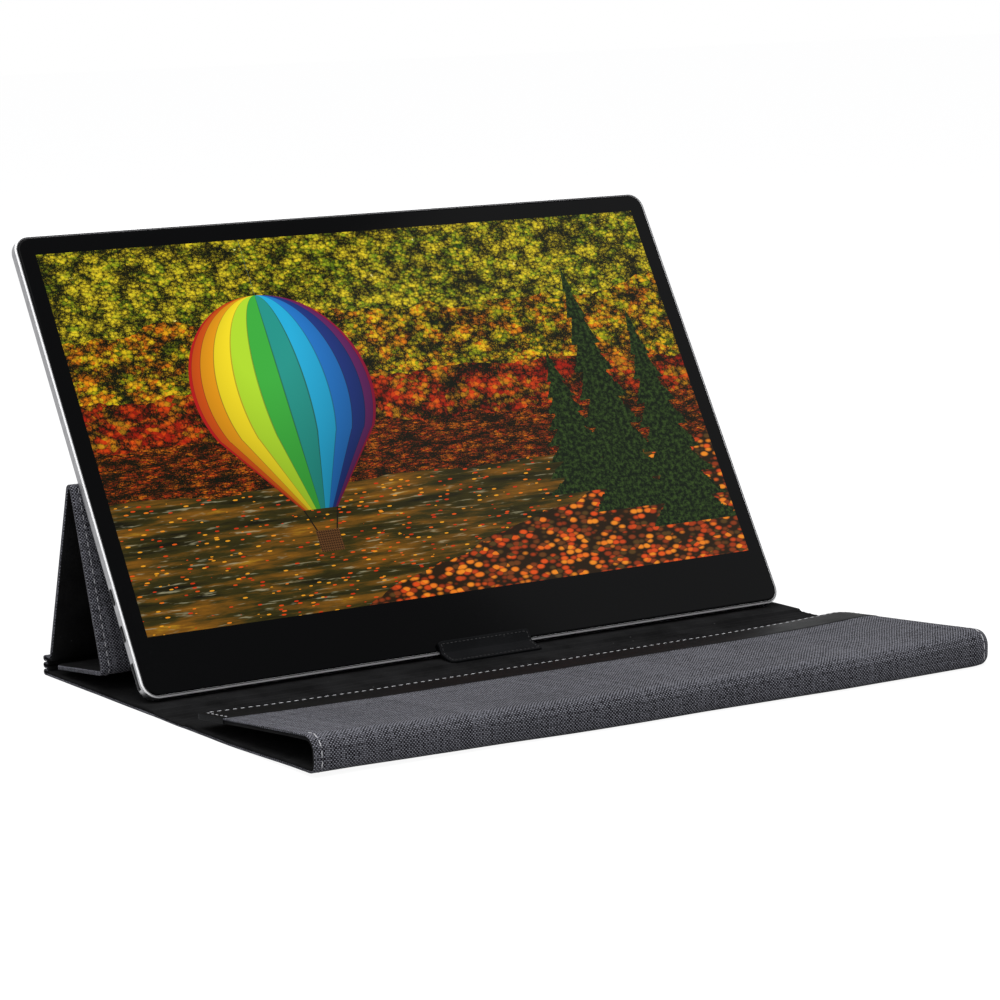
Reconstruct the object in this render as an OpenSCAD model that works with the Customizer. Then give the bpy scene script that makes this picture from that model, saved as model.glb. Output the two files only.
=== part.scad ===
// Portable monitor standing in a folding fabric cover. Millimetres, +Z up.
// The screen faces -Y and +X is to its viewer's right. The origin lies on the table,
// under the middle of the cover's base panel.

/* [Monitor] */
// Width over the frame
monitor_w = 363.4; // [340:0.2:380]
// Height over the frame
monitor_h = 232.7; // [228:0.1:245]
// Thickness from the back to the glass
monitor_t = 6.8; // [6.6:0.1:7.6]
// Corner radius of the frame
corner_r = 8; // [7.5:0.5:12]
// Side wall of the frame
frame_wall = 1.7; // [1.4:0.1:2]
// Bright bevel round the front of the frame
bevel = 0.9; // [0.5:0.1:1.2]
// Rounding of the back edge
back_round = 2.5; // [1.6:0.1:2.5]
// Sheet of the rear cover
back_t = 0.9; // [0.8:0.1:1]
// Cover glass thickness
glass_t = 0.8; // [0.6:0.1:1]
// Gap round the cover glass
glass_gap = 0.4; // [0.2:0.1:0.6]
// Black border left and right of the picture
border_side = 9.6; // [8:0.1:14]
// Black border above the picture
border_top = 10.2; // [8:0.1:14]
// From the lower edge of the frame to the picture
chin = 28.9; // [27:0.1:32]
// Lean of the monitor from vertical
lean = 30.8; // [26:0.1:34]
// From the front edge of the base panel to the monitor's back edge
stand_in = 17; // [15:0.1:20]

/* [Sockets and controls] */
// Height of the middle of the side slots above the back
slot_depth = 3.1; // [3.1:0.05:3.2]
// Upper USB-C slot, above the lower edge
usb_upper = 51.2; // [46:0.1:60]
// Lower USB-C slot, above the lower edge
usb_lower = 33.2; // [29:0.1:36]
// Mini HDMI slot, above the lower edge
hdmi_at = 12.3; // [12:0.1:14]
// Length of a USB-C slot
usb_len = 8.2; // [7.6:0.1:9]
// Length of the mini HDMI slot
hdmi_len = 13.2; // [11:0.1:13.2]
// Width of all side slots
slot_w = 2.6; // [2.2:0.1:2.8]
// Headphone jack, above the lower edge
jack_at = 15; // [13.5:0.5:18]
// Radius of the headphone jack's hole
jack_r = 1.8; // [1.75:0.01:1.85]
// Power button, above the lower edge
power_at = 78; // [74:0.5:86]
// Menu rocker, above the lower edge
menu_at = 56; // [50:0.5:60]
// Length of the power button
power_len = 9; // [7:0.5:11]
// Length of the menu rocker
menu_len = 14; // [11:0.5:16]
// Travel of the power button
press = 0.4; // [0.3:0.05:0.5]
// Running gap round the button and the rocker
key_gap = 0.15; // [0.1:0.01:0.2]

/* [Cover] */
// How far the cover reaches past the monitor on each side
cover_over = 3; // [1:0.5:6]
// Outer woven fabric
fabric_t = 0.7; // [0.5:0.05:0.9]
// Stiffener board
board_t = 1.2; // [1:0.05:1.5]
// Lining
lining_t = 0.6; // [0.5:0.05:0.8]
// Fabric turned up along both sides of a panel
hem = 1.4; // [1:0.1:2]
// Length of the base panel
base_len = 103; // [98:1:110]
// Width of the soft fold in front of the base
fold_len = 30; // [24:1:34]
// Length of the front panel
front_len = 104; // [98:1:112]
// Height of the nose
nose_h = 15; // [13.5:0.1:16]
// Radius of the nose's lower corner
nose_low_r = 4.6; // [4:0.1:5.5]
// Radius of the nose's upper corner
nose_top_r = 6.6; // [5.5:0.1:7]
// Length of the closing flap
flap_len = 92; // [86:1:112]
// Gap under the flap's free edge
flap_gap = 2.5; // [1:0.1:3.5]
// Width of the smooth strip on the flap
strip_w = 23; // [18:1:38]
// Radius of the flap's free corners
flap_corner_r = 4; // [2:0.5:8]

/* [Stand] */
// Radius of the spine roll
spine_r = 5.2; // [4.8:0.1:6]
// Height of the tent's apex
tent_h = 95; // [90:0.1:102]
// Outer radius of the apex fold
apex_r = 3; // [2.9:0.1:3.6]
// How far inside the roll's middle the rear panel's outer face ends
roll_in = 0.45; // [0:0.05:1.5]
// Lean of the prop panel from vertical
prop_lean = 17.3; // [15:0.1:19]
// Gap between the apex and the monitor
rest_gap = 0.3; // [0.2:0.05:0.5]
// Height of the prop's foot above the table
foot_rise = 9.5; // [8:0.1:12]
// Outer radius of the foot fold
foot_r = 4; // [3.6:0.1:4.6]
// Length of the foot flap
foot_len = 42; // [36:0.5:44]
// Gap under the foot flap's free edge
foot_gap = 2.5; // [2:0.1:3.5]

/* [Stop tab] */
// Width of the tab
tab_w = 52; // [40:1:60]
// Leather of the tab, two layers
tab_t = 1.5; // [1.2:0.1:1.8]
// How far the lip stands over the glass
lip_h = 5.6; // [4:0.1:8]
// Length of the sewn foot leaf
tab_foot = 9.6; // [8:0.1:9.7]

/* [Hidden] */
$fn = 64;
screen_w = monitor_w - 2 * border_side;
screen_h = monitor_h - chin - border_top;
cover_w = monitor_w + 2 * cover_over;
stand_y = stand_in - base_len / 2;
// thickness of a cover panel and of a cover fold, which has no board
panel_t = fabric_t + board_t + lining_t;
soft_t = fabric_t + lining_t;
// gap left between two bodies at a fold, and the air round inner pieces
seam = 0.3;
air = 0.2;
// the back of the monitor is rounded, so it rests this much lower than its square corner
rest_drop = back_round * (cos(lean) + sin(lean)) - back_round;
stand_z = panel_t - rest_drop + 0.05;

// --- heights inside the monitor, measured from its back ---
glass_low = monitor_t - glass_t;
tape_t = 0.2;
ledge_t = 0.7;
ledge_low = glass_low - tape_t - ledge_t;
ledge_w = 4.5;
lcd_t = 1.2;
lcd_low = glass_low - tape_t - lcd_t;
light_t = 1.9;
light_low = lcd_low - light_t;
board_low = back_t + 0.1;
pcb_t = 0.6;
side_border = 3;
lcd_low_border = 4;
lcd_top_border = 3;

// --- cover, from the table up ---
fold_mid = -base_len / 2 - fold_len / 2;
front_rear = -base_len / 2 - fold_len;
nose_y = front_rear - front_len;
nose_front = nose_y - nose_low_r;
nose_top_y = nose_front + nose_top_r;
flap_tilt = asin((nose_h - 2 * panel_t - flap_gap) / flap_len);
flap_flat = flap_len + nose_low_r - nose_top_r;
flap_magnet_at = flap_flat - 12;
// angle at which each nose corner is split between its two bodies
nose_low_split = 225;
nose_top_split = 135 - flap_tilt / 2;
spine_y = base_len / 2;
spine_split = -45;

// --- tent: the apex arc touches the monitor's back, rest_gap away ---
apex_z = tent_h - apex_r;
apex_y = stand_y + (apex_r + rest_gap + (apex_z - stand_z) * sin(lean)) / cos(lean);

// the rear panel leans as far as it must to meet the roll
roll_dy = spine_y - apex_y;
roll_dz = apex_z - spine_r;
rear_lean = acos((apex_r + roll_in) / norm([roll_dy, roll_dz])) - atan2(roll_dz, roll_dy);
rear_len = roll_dy * sin(rear_lean) + roll_dz * cos(rear_lean) - spine_r;
apex_split = (rear_lean + 180 - prop_lean) / 2;
foot_tilt = asin((foot_rise - panel_t - foot_gap) / foot_len);
foot_z = foot_rise + foot_r * cos(foot_tilt);
prop_len = (apex_z + (apex_r - foot_r) * sin(prop_lean) - foot_z) / cos(prop_lean);
foot_y = apex_y - (apex_r - foot_r) * cos(prop_lean) - prop_len * sin(prop_lean);
foot_split = (180 - prop_lean + 270 - foot_tilt) / 2;

// ---------- shared shapes ----------

// a side profile (Y, Z) drawn out to a width along X
module across(width) {
    rotate([90, 0, 90]) linear_extrude(width, center = true) children();
}

// rectangle with round corners, centred on X, standing on Y = 0
module round_rect(w, h, r) {
    translate([0, h / 2]) {
        square([w - 2 * r, h], center = true);
        square([w, h - 2 * r], center = true);
        for (x = [-1, 1], y = [-1, 1]) translate([x * (w / 2 - r), y * (h / 2 - r)]) circle(r);
    }
}

// slot with round ends along Y, centred
module slot(len, w) {
    square([w, len - w], center = true);
    for (s = [-1, 1]) translate([0, s * (len - w) / 2]) circle(w / 2, $fn = 32);
}

// sector of a ring between two radii and two angles less than 180 degrees apart
module arc_band(r_in, r_out, from, to) {
    reach = 2 * r_out;
    intersection() {
        difference() {
            circle(r_out);
            circle(r_in);
        }
        polygon([[0, 0], reach * [cos(from), sin(from)],
            reach * [cos((from + to) / 2), sin((from + to) / 2)], reach * [cos(to), sin(to)]]);
    }
}

// the profile swept round a rounded rectangle: its x runs outwards from the corner's centre
module swept_frame(w, h, r) {
    for (side = [0, 1]) mirror([side, 0, 0]) {
        translate([w / 2 - r, h / 2, 0]) rotate([90, 0, 0])
            linear_extrude(h - 2 * r, center = true) children();
    }
    for (side = [0, 1]) translate([0, h / 2, 0]) mirror([0, side, 0]) translate([0, h / 2 - r, 0])
        rotate([90, 0, 90]) linear_extrude(w - 2 * r, center = true) children();
    for (sx = [0, 1], sy = [0, 1]) translate([0, h / 2, 0]) mirror([sx, 0, 0]) mirror([0, sy, 0])
        translate([w / 2 - r, h / 2 - r, 0]) rotate_extrude(angle = 90) children();
}

// ---------- monitor, drawn lying on its back: X right, Y up the screen, Z to the viewer ----------

module in_monitor() {
    translate([0, stand_y, stand_z]) rotate([90 - lean, 0, 0]) children();
}

// outline of everything that fits inside the frame's wall
module inner_outline(inset) {
    translate([0, frame_wall + inset])
        round_rect(monitor_w - 2 * (frame_wall + inset), monitor_h - 2 * (frame_wall + inset),
            corner_r - frame_wall - inset);
}

module plate(z, t) {
    translate([0, 0, z]) linear_extrude(t) children();
}

glass_in = bevel + glass_gap;

// the edge of the cover glass is ground to a slope and a fine chamfer
module cover_glass() {
    edge_r = corner_r - glass_in;
    color([0.05, 0.05, 0.06]) in_monitor() {
        plate(glass_low, glass_t) inner_outline(glass_in - frame_wall + 1.5);
        translate([0, glass_in, 0])
            swept_frame(monitor_w - 2 * glass_in, monitor_h - 2 * glass_in, edge_r)
                polygon([[edge_r - 2, glass_low], [edge_r, glass_low], [edge_r, monitor_t - 0.4],
                    [edge_r - 0.3, monitor_t - 0.12], [edge_r - 0.9, monitor_t], [edge_r - 2, monitor_t]]);
    }
}

// adhesive frame that holds the glass to the ledge and the panel's border to the glass
module glass_tape() {
    color("dimgray") in_monitor() plate(glass_low - tape_t, tape_t) difference() {
        inner_outline(air);
        translate([0, chin + screen_h / 2]) square([screen_w + 2, screen_h + 2], center = true);
    }
}

lcd_w = screen_w + 2 * side_border;
lcd_foot = chin - lcd_low_border;
lcd_h = screen_h + lcd_low_border + lcd_top_border;

module lcd_panel() {
    color([0.1, 0.1, 0.12]) in_monitor() {
        translate([-lcd_w / 2, lcd_foot, lcd_low]) cube([lcd_w, lcd_h, lcd_t - 0.4]);
        // the upper polariser stops short of the glass ledge that carries the drivers
        translate([-lcd_w / 2, lcd_foot + lcd_low_border / 2, lcd_low + lcd_t - 0.4])
            cube([lcd_w, lcd_h - lcd_low_border / 2, 0.4]);
    }
}

module backlight() {
    color("white") in_monitor() {
        difference() {
            translate([-lcd_w / 2 + 0.5, lcd_foot + 0.5, light_low]) cube([lcd_w - 1, lcd_h - 1, light_t]);
            translate([-lcd_w / 2 + 1.3, lcd_foot + 4.5, light_low + 0.3])
                cube([lcd_w - 2.6, lcd_h - 5.8, light_t]);
        }
        // light guide and film stack lying in the tray
        translate([-lcd_w / 2 + 1.5, lcd_foot + 4.7, light_low + 0.3])
            cube([lcd_w - 3, lcd_h - 6.2, light_t - 0.4]);
    }
}

// where the sockets sit along the left wall; the lowest one starts behind the round corner
left = -monitor_w / 2;
right = monitor_w / 2;
hdmi_in = frame_wall + 2.1;

// a cut through a side wall, its profile drawn with x towards the back and y up the screen
module wall_cut(x, at, depth) {
    translate([x - depth, at, slot_depth]) rotate([0, 90, 0]) linear_extrude(2 * depth) children();
}

// openings in both side walls for sockets, jack, button and rocker
module side_cuts() {
    for (at = [usb_lower, usb_upper]) wall_cut(left, at, frame_wall + 1) slot(usb_len, slot_w);
    wall_cut(left, hdmi_at, hdmi_in) intersection() {
        square([slot_w, hdmi_len], center = true);
        // the two back corners are cut off, as on the plug
        translate([-slot_w * 0.75, 0]) circle(hdmi_len / 2 + 0.4);
    }
    wall_cut(right, jack_at, frame_wall + 1) circle(jack_r);
    wall_cut(right, power_at, frame_wall + 1) slot(power_len, slot_w);
    wall_cut(right, menu_at, frame_wall + 1) square([slot_w, menu_len], center = true);
}

// height of the joint between the frame's wall and the rear cover
joint_z = back_round;

module silver_frame() {
    wall_r = corner_r - frame_wall;
    color("silver") in_monitor() difference() {
        swept_frame(monitor_w, monitor_h, corner_r) union() {
            polygon([[wall_r, joint_z], [corner_r, joint_z], [corner_r, monitor_t - bevel],
                [corner_r - bevel, monitor_t], [corner_r - bevel - 0.02, monitor_t],
                [wall_r + 0.4, glass_low], [wall_r, glass_low]]);
            // ledge under the edge of the glass
            polygon([[wall_r - ledge_w + frame_wall, ledge_low], [wall_r + 0.1, ledge_low],
                [wall_r + 0.1, ledge_low + ledge_t], [wall_r - ledge_w + frame_wall, ledge_low + ledge_t]]);
        }
        side_cuts();
    }
}

module rear_cover() {
    color("silver") in_monitor() difference() {
        union() {
            plate(0, back_t) translate([0, back_round])
                round_rect(monitor_w - 2 * back_round, monitor_h - 2 * back_round, corner_r - back_round);
            swept_frame(monitor_w, monitor_h, corner_r) difference() {
                translate([corner_r - back_round, back_round])
                    arc_band(back_round - back_t, back_round, -90, 0);
                translate([0, back_round]) square([2 * corner_r, back_round]);
            }
        }
        // two groups of speaker slots
        for (side = [-1, 1], i = [-4 : 4])
            translate([side * speaker_x + 4 * i, speaker_v + speaker_h / 2, 0])
                linear_extrude(4 * back_t, center = true) slot(5, 1.2);
        side_cuts();
    }
}

// ---------- inside the monitor ----------

speaker_x = 128;
speaker_v = 7;
speaker_h = 14;
speaker_w = 40;
board_l = -monitor_w / 2 + max(frame_wall + 0.3, back_round - 0.3);
board_w = 80;
board_h = usb_upper + 6;

module main_board() {
    chip_z = board_low + pcb_t;
    color("darkgreen") in_monitor() {
        difference() {
            translate([board_l, 4, board_low]) cube([board_w, board_h, pcb_t]);
            // rounded to clear the corner of the case, and cut out round the speaker
            translate([board_l, 4, 0]) difference() {
                translate([-1, -1, 0]) cube([corner_r, corner_r, 3]);
                translate([corner_r - 1, corner_r - 1, -1]) cylinder(r = corner_r - 1, h = 5);
            }
            translate([-speaker_x - speaker_w / 2 - 1, 0, 0])
                cube([speaker_w + 50, speaker_v + speaker_h + 1, 3]);
            for (p = screw_places()) translate([p[0], p[1], 0]) cylinder(r = 1.1, h = 4);
        }
        // coils and chips under the backlight
        for (i = [0 : 4]) translate([board_l + 16 + 6.2 * i, 34 + 4 * (i % 2), chip_z])
            cube([4, 3, light_low - chip_z - air]);
    }
}

module shield_can() {
    color("gainsboro") in_monitor() translate([board_l + 52, 34, board_low + pcb_t]) difference() {
        cube([20, 18, light_low - board_low - pcb_t - 0.1]);
        translate([0.2, 0.2, -1]) cube([19.6, 17.6, light_low - board_low - pcb_t - 0.1 + 0.8]);
    }
}

driver_w = 160;
driver_h = 11;
driver_v = 6;
cable_pitch = 38;
cable_w = 14;
cable_t = 0.15;

module driver_board() {
    color("green") in_monitor() {
        translate([-driver_w / 2, driver_v, board_low]) cube([driver_w, driver_h, pcb_t]);
        for (i = [-2.5 : 1 : 2.5]) translate([driver_w / 6 * i - 4, driver_v + 2, board_low + pcb_t])
            cube([8, 6, 0.9]);
    }
}

// four flex cables folded from the lower edge of the LCD down to the driver board
module panel_cables() {
    fold = lcd_foot - 1.75;
    low = board_low + pcb_t;
    high = lcd_low + lcd_t - 0.4;
    color("goldenrod") in_monitor() for (i = [-1.5 : 1 : 1.5])
        translate([cable_pitch * i - cable_w / 2, 0, 0]) rotate([90, 0, 90]) linear_extrude(cable_w) {
            translate([driver_v + driver_h - 2, low]) square([fold - driver_v - driver_h + 2, cable_t]);
            translate([fold, low]) square([cable_t, high + cable_t - low]);
            translate([fold, high]) square([3.2, cable_t]);
        }
}

// a metal socket shell behind a slot: closed at its inner end, with a contact tongue
module socket(x, at, outer_l, depth) {
    translate([x, at, slot_depth]) rotate([0, 90, 0]) {
        difference() {
            linear_extrude(depth) children(0);
            translate([0, 0, -1]) linear_extrude(depth + 0.6) children(1);
        }
        translate([-0.3, -outer_l / 2 + 1.7, 0.6]) cube([0.6, outer_l - 3.4, depth - 0.8]);
    }
}

module usb_c_sockets() {
    color("lightgray") in_monitor() for (at = [usb_lower, usb_upper])
        socket(left + frame_wall, at, usb_len + 0.4, 4.9) {
            slot(usb_len + 0.4, slot_w + 0.4);
            slot(usb_len - 0.2, slot_w - 0.2);
        }
}

module mini_hdmi_socket() {
    color("lightgray") in_monitor() socket(left + hdmi_in, hdmi_at, hdmi_len + 0.4, 2.9) {
        square([slot_w + 0.4, hdmi_len + 0.4], center = true);
        square([slot_w - 0.2, hdmi_len - 0.2], center = true);
    }
}

module headphone_jack() {
    depth = 12;
    wide = 2 * jack_r + 2.2;
    half = jack_r + 0.15;
    jack_in = max(frame_wall, back_round - 0.7);
    color("dimgray") in_monitor() translate([right - jack_in - depth, jack_at, slot_depth]) difference() {
        union() {
            translate([0, -wide / 2, -half]) cube([depth, wide, 2 * half]);
            // contact springs along the far end
            for (i = [0 : 2]) translate([1 + 3 * i, -wide / 2 - 0.5, -half]) cube([1.2, wide + 1, 0.4]);
        }
        translate([1, 0, 0]) rotate([0, 90, 0]) cylinder(r = jack_r, h = depth);
    }
}

module speakers() {
    color("black") in_monitor() for (side = [-1, 1]) translate([side * speaker_x, speaker_v, 0]) {
        translate([-speaker_w / 2, 0, back_t + 0.3]) cube([speaker_w, speaker_h, 2.8]);
        translate([0, speaker_h / 2, back_t + 0.1]) linear_extrude(0.4) slot(5.5, 5);
    }
}

screw_in = 4;
function screw_places() = [[board_l + 3 * screw_in, (usb_lower + usb_upper) / 2],
    [board_l + board_w / 2 + screw_in, 4 + board_h - screw_in],
    [board_l + board_w - screw_in, usb_lower - screw_in / 2]];

module board_screws() {
    color("silver") in_monitor() for (p = screw_places()) translate([p[0], p[1], back_t]) {
        cylinder(r = 0.9, h = board_low + pcb_t - back_t);
        translate([0, 0, board_low + pcb_t - back_t]) cylinder(r = 1.6, h = 0.35);
    }
}

board_x = monitor_w / 2 - frame_wall - 4.4;

module button_board() {
    color("darkgreen") in_monitor() {
        translate([board_x, menu_at - menu_len / 2 - 2, back_t + 0.3])
            cube([0.8, power_at - menu_at + (power_len + menu_len) / 2 + 4, 2.8]);
        // two tact switches behind the button and the rocker
        for (at = [power_at, menu_at]) translate([board_x + 0.8, at - 1.6, back_t + 0.8])
            cube([0.9, 3.2, 1.8]);
    }
}

module power_button() {
    color("silver") in_monitor() translate([monitor_w / 2, power_at, slot_depth]) rotate([0, 90, 0]) {
        translate([0, 0, -frame_wall - 0.2]) linear_extrude(frame_wall + 0.6)
            slot(power_len - 2 * key_gap, slot_w - 2 * key_gap);
        // collar that keeps the button in the wall
        translate([0, 0, -frame_wall - 0.7]) linear_extrude(0.5) slot(power_len + 1, slot_w + 0.6);
    }
}

module menu_rocker() {
    half = menu_len / 2 - key_gap - 0.1;
    low = frame_wall / 2 + 0.3;
    thick = slot_w - 2 * key_gap;
    color("silver") in_monitor() translate([monitor_w / 2 - frame_wall / 2, menu_at, slot_depth]) {
        translate([0, 0, -thick / 2]) linear_extrude(thick) difference() {
            polygon([[-low, -half + 0.3], [-low, half - 0.3], [low, half - 0.5], [low + 0.4, 2],
                [low + 0.4, -2], [low, -half + 0.5]]);
            // three ribs on each half
            for (s = [-1, 1], i = [1 : 3]) translate([low + 0.45, s * (0.8 + 1.2 * i)])
                circle(0.25, $fn = 16);
        }
    }
}

// ---------- cover panels ----------

// fabric wraps the whole panel and turns up along both sides, round its board and lining
module wrapped(inner_w) {
    difference() {
        across(cover_w) children(0);
        across(inner_w) children(1);
    }
}

inner_w = cover_w - 2 * hem;
board_span = inner_w - 1;

// base: flat from the soft fold in front to the spine roll behind
base_front = fold_mid + seam / 2;

module base_outline() {
    translate([base_front, 0]) square([spine_y - base_front, soft_t]);
    translate([-base_len / 2, 0]) square([base_len, panel_t]);
    translate([spine_y, spine_r]) arc_band(spine_r - soft_t, spine_r, -90, spine_split);
}

module base_skin() {
    translate([base_front, 0]) square([spine_y - base_front, fabric_t]);
    translate([spine_y, spine_r]) arc_band(spine_r - fabric_t, spine_r, -90, spine_split);
}

module base_fabric() {
    color("slategray") wrapped(inner_w) {
        base_outline();
        difference() {
            base_outline();
            base_skin();
        }
    }
}

board_gap = 1.2;

module base_board() {
    color("tan") difference() {
        across(board_span) translate([-base_len / 2 + board_gap, fabric_t])
            square([base_len - 2 * board_gap, board_t]);
        magnet_pockets(base_magnet_y, fabric_t);
    }
}

module base_lining() {
    color([0.2, 0.2, 0.2]) across(inner_w) difference() {
        base_outline();
        base_skin();
        translate([-base_len / 2 + board_gap, fabric_t]) square([base_len - 2 * board_gap, board_t]);
    }
}

// magnets lie in pockets of the boards, against the fabric
magnet_w = 24;
magnet_l = 8;
magnet_t = 1;
magnet_xs = [-120, -40, 40, 120];
base_magnet_y = 22;

module magnet_row(y, z, gap) {
    for (x = magnet_xs) translate([x - magnet_w / 2 - gap, y - magnet_l / 2 - gap, z])
        cube([magnet_w + 2 * gap, magnet_l + 2 * gap, magnet_t]);
}

module magnet_pockets(y, z) {
    magnet_row(y, z, 0.2);
}

module base_magnets() {
    color("gray") magnet_row(base_magnet_y, fabric_t, 0);
}

// stop tab, sewn flat to the base lining in front of the monitor
tab_fold_v = -0.8;
tab_w0 = monitor_t + 0.35;
tab_crease_y = stand_y + tab_fold_v * sin(lean) - (tab_w0 + tab_t) * cos(lean);
tab_crease_z = stand_z + tab_fold_v * cos(lean) + (tab_w0 + tab_t) * sin(lean);

module tab_foot_leaf() {
    color([0.1, 0.1, 0.1]) translate([1, 0, 0]) across(tab_w) difference() {
        polygon([[tab_crease_y - 0.15, panel_t], [tab_crease_y - 0.15, tab_crease_z - 0.15],
            [tab_crease_y - tab_foot + 0.6, panel_t + 1], [tab_crease_y - tab_foot, panel_t + 0.4],
            [tab_crease_y - tab_foot, panel_t]]);
        // air under the raised end of the leaf
        polygon([[tab_crease_y, panel_t - 0.1], [tab_crease_y, tab_crease_z - tab_t - 0.2],
            [tab_crease_y - tab_foot * 0.55, panel_t - 0.1]]);
    }
}

module tab_lip() {
    color([0.1, 0.1, 0.1]) in_monitor() translate([1, tab_fold_v, tab_w0]) {
        linear_extrude(tab_t) round_rect(tab_w, lip_h - tab_fold_v, 2.4);
        translate([-tab_w / 2, 0, 0]) cube([tab_w, 3, tab_t]);
    }
}

// front panel: from the middle of the soft fold to the nose's lower corner
front_seam = fold_mid - seam / 2;

module front_outline() {
    translate([nose_y, 0]) square([front_seam - nose_y, soft_t]);
    translate([nose_y, 0]) square([front_len, panel_t]);
    translate([nose_y, nose_low_r])
        arc_band(nose_low_r - panel_t, nose_low_r, nose_low_split + nose_seam_low, 270);
}

module front_skin() {
    translate([nose_y, 0]) square([front_seam - nose_y, fabric_t]);
    translate([nose_y, nose_low_r])
        arc_band(nose_low_r - fabric_t, nose_low_r, nose_low_split + nose_seam_low, 270);
}

module front_board_profile() {
    translate([nose_y + board_gap, fabric_t]) square([front_len - 2 * board_gap, board_t]);
}

module front_fabric() {
    color("slategray") wrapped(inner_w) {
        front_outline();
        difference() {
            front_outline();
            front_skin();
        }
    }
}

// under the flap's magnets when the flap lies flat
front_magnet_y = nose_top_y + flap_magnet_at;

module front_board() {
    color("tan") difference() {
        across(board_span) front_board_profile();
        magnet_pockets(front_magnet_y, fabric_t);
    }
}

module front_lining() {
    color([0.2, 0.2, 0.2]) across(inner_w) difference() {
        front_outline();
        front_skin();
        front_board_profile();
    }
}

module front_magnets() {
    color("gray") magnet_row(front_magnet_y, fabric_t, 0);
}

// nose: half of each corner and the wall between them
nose_seam_low = asin(seam / 2 / nose_low_r);
nose_seam_top = asin(seam / 2 / nose_top_r);

module nose_band(t) {
    translate([nose_y, nose_low_r])
        arc_band(nose_low_r - t, nose_low_r, 180, nose_low_split - nose_seam_low);
    translate([nose_top_y, nose_h - nose_top_r])
        arc_band(nose_top_r - t, nose_top_r, nose_top_split + nose_seam_top, 180);
    translate([nose_front, nose_low_r]) square([t, nose_h - nose_top_r - nose_low_r]);
}

module nose_fabric() {
    color("slategray") wrapped(inner_w) {
        nose_band(panel_t);
        difference() {
            nose_band(panel_t);
            nose_band(fabric_t);
        }
    }
}

module nose_lining() {
    color([0.2, 0.2, 0.2]) across(inner_w) difference() {
        nose_band(panel_t);
        nose_band(fabric_t);
    }
}

// closing flap, drawn flat behind the nose's upper corner and tilted down to its free edge
module in_flap() {
    translate([0, nose_top_y, nose_h - nose_top_r]) rotate([-flap_tilt, 0, 0])
        translate([0, 0, nose_top_r]) children();
}

module flap_outline() {
    translate([0, -panel_t]) square([flap_flat - panel_t / 2, panel_t]);
    translate([flap_flat - panel_t / 2, -panel_t / 2]) circle(panel_t / 2);
    translate([0, -nose_top_r])
        arc_band(nose_top_r - panel_t, nose_top_r, 90, nose_top_split + flap_tilt - nose_seam_top);
}

module flap_inner() {
    translate([0, -panel_t + 0.01]) square([flap_flat - panel_t, panel_t - fabric_t - 0.01]);
    translate([0, -panel_t]) square([flap_flat - panel_t, panel_t - fabric_t]);
    translate([0, -nose_top_r])
        arc_band(nose_top_r - panel_t, nose_top_r - fabric_t, 90,
            nose_top_split + flap_tilt - nose_seam_top);
}

module flap_board_profile() {
    translate([board_gap, -fabric_t - board_t]) square([flap_flat - panel_t - 2 * board_gap, board_t]);
}

module flap_strip_cut() {
    translate([-cover_w / 2 - 1, flap_flat - strip_w, -panel_t - 1])
        cube([cover_w + 2, strip_w + 2, panel_t + 2]);
}

module flap_corners() {
    for (side = [0, 1]) mirror([side, 0, 0])
        translate([cover_w / 2 - flap_corner_r, flap_flat - flap_corner_r, 0]) difference() {
            translate([0, 0, -panel_t - 1]) cube([flap_corner_r + 1, flap_corner_r + 1, panel_t + 2]);
            cylinder(r = flap_corner_r, h = 4 * panel_t, center = true);
        }
}

module flap_fabric() {
    color("slategray") in_flap() difference() {
        wrapped(inner_w) {
            flap_outline();
            flap_inner();
        }
        flap_strip_cut();
    }
}

module flap_strip() {
    color([0.08, 0.08, 0.09]) in_flap() difference() {
        wrapped(inner_w) {
            flap_outline();
            flap_inner();
        }
        translate([-cover_w / 2 - 1, -nose_top_r - 1, -2 * nose_top_r])
            cube([cover_w + 2, nose_top_r + 1 + flap_flat - strip_w, 3 * nose_top_r]);
        flap_corners();
    }
}

module flap_board() {
    color("tan") in_flap() difference() {
        across(board_span) flap_board_profile();
        magnet_pockets(flap_magnet_at, -fabric_t - magnet_t);
    }
}

module flap_lining() {
    color([0.2, 0.2, 0.2]) in_flap() across(inner_w) difference() {
        flap_inner();
        flap_board_profile();
    }
}

module flap_magnets() {
    color("gray") in_flap() magnet_row(flap_magnet_at, -fabric_t - magnet_t, 0);
}

// ---------- stand ----------

// the roll's centre, seen from the rear panel: x down the panel, y outward
roll_x = rear_len + spine_r;
roll_y = apex_r + roll_in;
roll_end = 128;
roll_seam = asin(seam / 2 / spine_r);
pleat_r = 0.9;
pleat_out = pleat_r / 2;

// pleats round the back of the roll
module pleats() {
    translate([spine_y, spine_r]) difference() {
        for (a = [-26 : 22 : 40])
            translate((spine_r + pleat_out - pleat_r) * [cos(a), sin(a)]) circle(pleat_r, $fn = 32);
        circle(spine_r - fabric_t / 2);
    }
}

// the roll is sewn in three lengths, with a fine crease between them
roll_crease = 0.8;

module roll_band(r_in, r_out, parts) {
    from = spine_split + roll_seam;
    step = (roll_end - from) / parts;
    translate([spine_y, spine_r]) for (i = [0 : parts - 1])
        arc_band(r_in, r_out, from + i * step + (i > 0 ? roll_crease : 0), from + (i + 1) * step);
}

module spine_fabric() {
    color("slategray") across(cover_w) {
        roll_band(spine_r - fabric_t, spine_r, 3);
        pleats();
    }
}

module spine_lining() {
    color([0.2, 0.2, 0.2]) across(inner_w) roll_band(spine_r - soft_t, spine_r - fabric_t, 4);
}

// rear panel between two depths under its outer face; a cut runs past both ends, in mm and degrees
past = 8;

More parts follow.
